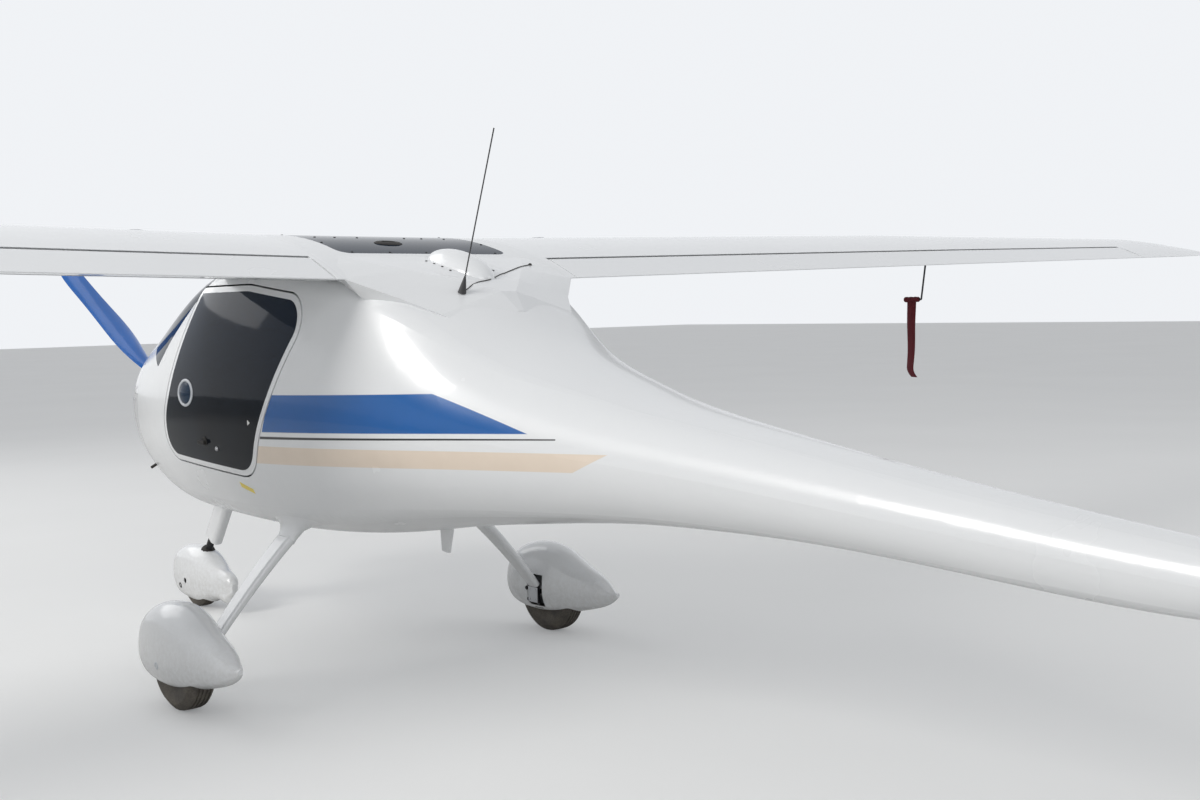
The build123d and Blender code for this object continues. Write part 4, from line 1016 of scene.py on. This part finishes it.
def build_leg_trim():
    """The plates where the axles meet the legs, and the boot on the nose strut."""
    hub = plate(0.058, 0.062, 0.003, 0.004)
    profile = ((0, 0), (0.0045, 0), (0.0045, 0.0045), (0.003, 0.0052), (0, 0.0052))
    for x, y in ((-0.018, -0.020), (0.018, -0.020), (-0.018, 0.020), (0.018, 0.020)):
        hub = joined([hub, move(turned(profile, 12), Matrix.Translation((x, y, 0.0)))])
    hub = coat(move(hub, frame_on(HUB_PLACE, UPWARD, -OUTWARD)), FINISHES["cast_alloy"])
    both_sides(hub, "hub_plate", "airframe")

    leaning = Vector((0.0, math.sin(STEERING_RAKE), math.cos(STEERING_RAKE)))
    ahead = (0, -math.cos(STEERING_RAKE), math.sin(STEERING_RAKE))
    folds = [(0.0168, 0.0), (0.031, 0.0), (0.032, 0.005), (0.028, 0.008), (0.030, 0.012)]
    folds += [(0.025, 0.015), (0.026, 0.019), (0.020, 0.024), (0.0168, 0.025)]
    boot = coat(turned(folds, 40), SEAL)
    place = Vector(STEERING_FOOT) + leaning * BOOT_RISE
    settle(move(boot, frame_on(place, ahead, leaning)), "strut_boot", "nose_fork")


def build_leg_fairings():
    """A flared fairing from the belly down to each main leg."""
    fairing = primitive("circle", vertices=40, radius=1.0)
    begin(fairing, "EDGE", "SELECT")
    for _ in range(4):
        bpy.ops.mesh.extrude_region_move(TRANSFORM_OT_translate={"value": (0, 0, 1)})
    end()
    root = Vector(LEG_ROOT)
    slope = Vector((LEG_RUN, 0.0, -LEG_DROP)).normalized()
    flat = Vector((LEG_DROP, 0.0, LEG_RUN)).normalized()
    for vertex in fairing.data.vertices:
        rise = vertex.co.z / 4
        across, lengthways = vertex.co.x, vertex.co.y
        spread = (1 - rise) ** 2
        tail = 1.0 + (0.9 if lengthways > 0 else 0.15) * spread
        wide = (0.024 + 0.050 * spread) * across
        long = (0.050 + 0.055 * spread) * lengthways * tail
        place = root + flat * wide + Vector((0, 1, 0)) * long
        point, normal = skin("fuselage_shell", Vector((place.x, place.y, 0.2)), UPWARD)
        top = root + slope * 0.045 + flat * wide + Vector((0, 1, 0)) * long
        vertex.co = (point - normal * 0.002).lerp(top, rise**1.6)
    begin(fairing, "EDGE")
    shape = bmesh.from_edit_mesh(fairing.data)
    for edge in shape.edges:
        edge.select_set(edge.is_boundary)
    bmesh.update_edit_mesh(fairing.data)
    bpy.ops.mesh.edge_face_add()
    end()
    right_side_out(fairing)
    both_sides(coat(fairing, GELCOAT), "leg_fairing", "airframe", 50.0)


# The cloth on the probe under the right wing: its place, and the ribbon's flat size
PROBE_SIDE = -3.100
RIBBON_STATION = 2.214
RIBBON_TOP = 1.306
RIBBON_WIDTH = 0.056
RIBBON_DROP = 0.384
SLEEVE_STATION = 2.172
SLEEVE_HEIGHT = 1.316


def build_pitot_cover():
    """A cloth sleeve on the probe and the flat ribbon that hangs from it."""
    rows, columns = 60, 8
    obj = primitive("grid", x_subdivisions=columns, y_subdivisions=rows, size=1.0)
    for number, vertex in enumerate(obj.data.vertices):
        row, column = divmod(number, columns + 1)
        down = row / rows
        over = column / columns - 0.5
        sway = 0.006 * math.sin(2.6 * math.pi * down) * down
        twist = 0.35 * down
        curl = 0.030 * max(0.0, (down - 0.86) / 0.14) ** 2
        cup = 0.0035 * math.cos(math.pi * over)
        vertex.co = (
            PROBE_SIDE + sway + over * RIBBON_WIDTH * math.sin(twist) + cup * math.cos(twist),
            along(RIBBON_STATION) - 0.012 * down + over * RIBBON_WIDTH * math.cos(twist) + curl,
            RIBBON_TOP - RIBBON_DROP * (down - 0.10 * curl),
        )
    modify(obj, "SOLIDIFY", thickness=0.0016, offset=0.0)
    modify(obj, "SUBSURF", levels=1, render_levels=1)
    ribbon = coat(right_side_out(obj), FINISHES["red_cloth"])
    settle(ribbon, "pitot_ribbon", "airframe", 60.0)

    profile = [(0.0045, 0.0), (0.011, 0.0)]
    for number in range(9):
        profile.append((0.0135 + 0.0012 * math.sin(number * 2.3), 0.004 + 0.0098 * number))
    profile += [(0.009, 0.0885), (0.0045, 0.090)]
    sleeve = turned(profile, 28)
    for vertex in sleeve.data.vertices:
        vertex.co.x *= 1.0 + 0.05 * math.sin(vertex.co.z * 180)
    sleeve_place = (PROBE_SIDE, along(SLEEVE_STATION), SLEEVE_HEIGHT)
    move(sleeve, frame_on(sleeve_place, (0, 0, 1), (0, 1, 0)))
    settle(coat(sleeve, FINISHES["red_cloth"]), "pitot_sleeve", "airframe", 60.0)
    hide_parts("pitot_cover")


# The cowl's fasteners stand in two rows, above and below its joint
FASTENER_STATIONS = (0.55, 0.66, 0.77, 0.88)
FASTENER_ROWS = (("upper_cowl", 1.026), ("lower_cowl", 0.974))
DRAIN_PLACE = (0.952, 0.706)


def build_nose():
    """Fasteners on both sides of the cowl's joint and a drain tube."""
    head = ((0, 0), (0.008, 0), (0.008, 0.001), (0.006, 0.0018), (0.002, 0.0018))
    head += ((0.0015, 0.001), (0, 0.001))
    fastener = coat(turned(head, 16), FINISHES["bare_alloy"])
    spots = []
    for station in FASTENER_STATIONS:
        spots += [side_skin(node, station, height) for node, height in FASTENER_ROWS]
    fasteners = joined([stood(fastener, spot) for spot in spots])
    both_sides(fasteners, "cowl_fasteners", "airframe")
    bpy.data.objects.remove(fastener)

    tube = ((0.0035, 0), (0.006, 0), (0.006, 0.024), (0.0035, 0.026))
    tube = coat(turned(tube, 16), SEAL)
    drain = stood(tube, side_skin("fuselage_shell", *DRAIN_PLACE))
    settle(drain, "drain_tube", "airframe")
    bpy.data.objects.remove(tube)


# Stage: the sky's colour, its light on the aircraft and its brightness where it is seen
FLOOR_SIZE = 120.0
SKY = rgb(0.95, 0.97, 1.0)
SKY_LIGHT = 0.42
SKY_SEEN = 0.92
FLOOR_GLOW = 0.2


def build_floor():
    bpy.ops.mesh.primitive_plane_add(size=FLOOR_SIZE)
    floor = bpy.context.object
    floor.name = "floor"
    finish = Finish("floor_paint", Roughness=0.8, Specular_IOR_Level=0.2)
    patch = finish.noise(0.6, 3.0)
    rays = finish.node("ShaderNodeLightPath", {}, {})
    finish.set(Emission_Color=SKY)
    finish.set(Emission_Strength=Socket(finish, rays.outputs["Is Camera Ray"]) * FLOOR_GLOW)
    finish.set(Base_Color=finish.mixed(patch, rgb(0.64, 0.64, 0.63), rgb(0.69, 0.69, 0.68)))
    floor.data.materials.append(finish.material)


def build_sky():
    """A pale surround, brighter to the camera and in reflections than as a light."""
    world = bpy.data.worlds.new("studio")
    bpy.context.scene.world = world
    world.use_nodes = True
    tree = world.node_tree
    glow = tree.nodes["Background"]
    glow.inputs[0].default_value = SKY
    rays = tree.nodes.new("ShaderNodeLightPath")
    seen = rays.outputs["Is Camera Ray"]
    for other in ("Is Glossy Ray", "Is Transmission Ray"):
        either = tree.nodes.new("ShaderNodeMath")
        either.operation = "MAXIMUM"
        tree.links.new(seen, either.inputs[0])
        tree.links.new(rays.outputs[other], either.inputs[1])
        seen = either.outputs[0]
    strength = tree.nodes.new("ShaderNodeMapRange")
    strength.inputs["To Min"].default_value = SKY_LIGHT
    strength.inputs["To Max"].default_value = SKY_SEEN
    tree.links.new(seen, strength.inputs["Value"])
    tree.links.new(strength.outputs[0], glow.inputs[1])


def build_lamp(name, place, target, width, power, colour=(1, 1, 1)):
    """A square lamp turned to its target, its power in watts."""
    data = bpy.data.lights.new(name, "AREA")
    data.shape = "SQUARE"
    data.size = width
    data.energy = power
    data.color = colour
    lamp = bpy.data.objects.new(name, data)
    lamp.location = place
    aim = Vector(target) - Vector(place)
    lamp.rotation_euler = aim.to_track_quat("-Z", "Y").to_euler()
    bpy.context.scene.collection.objects.link(lamp)


def build_stage():
    """A pale floor, a pale surround and soft studio lamps."""
    build_floor()
    build_sky()
    build_lamp("key", (9.5, -1.5, 6.5), (0.0, -0.3, 0.8), 4.0, 560.0, (1.0, 0.98, 0.95))
    build_lamp("fill", (2.0, -9.0, 6.0), (0.0, -0.5, 0.8), 6.0, 160.0)
    build_lamp("back", (-8.0, 6.0, 6.0), (0.0, 0.0, 0.8), 6.0, 160.0)
    build_lamp("rear", (5.0, 9.0, 5.0), (0.0, 0.5, 0.8), 6.0, 200.0)


def build_camera():
    """The photograph's camera."""
    yaw, pitch, roll = (math.radians(a) for a in (CAMERA_YAW, CAMERA_PITCH, CAMERA_ROLL))
    flat = math.cos(pitch)
    ahead = Vector((math.sin(yaw) * flat, math.cos(yaw) * flat, math.sin(pitch)))
    level = ahead.cross(UPWARD).normalized()
    upward = level.cross(ahead)
    right = level * math.cos(roll) + upward * math.sin(roll)
    up = upward * math.cos(roll) - level * math.sin(roll)
    data = bpy.data.cameras.new("photo_camera")
    data.lens = LENS
    data.sensor_width = SENSOR
    data.clip_end = 300.0
    camera = bpy.data.objects.new("photo_camera", data)
    turn = Matrix((right, up, -ahead)).transposed().to_4x4()
    camera.matrix_world = Matrix.Translation(CAMERA_PLACE) @ turn
    bpy.context.scene.collection.objects.link(camera)
    bpy.context.scene.camera = camera
    bpy.context.scene.view_settings.view_transform = "Standard"


build_stage()
build_camera()
build_tyres()
build_pitot_cover()
build_doors()
build_roof()
build_whip_shadow()
build_fuel_caps()
build_spat_trim()
build_leg_trim()
build_leg_fairings()
build_nose()
build_panel()
build_seats()
build_harnesses()
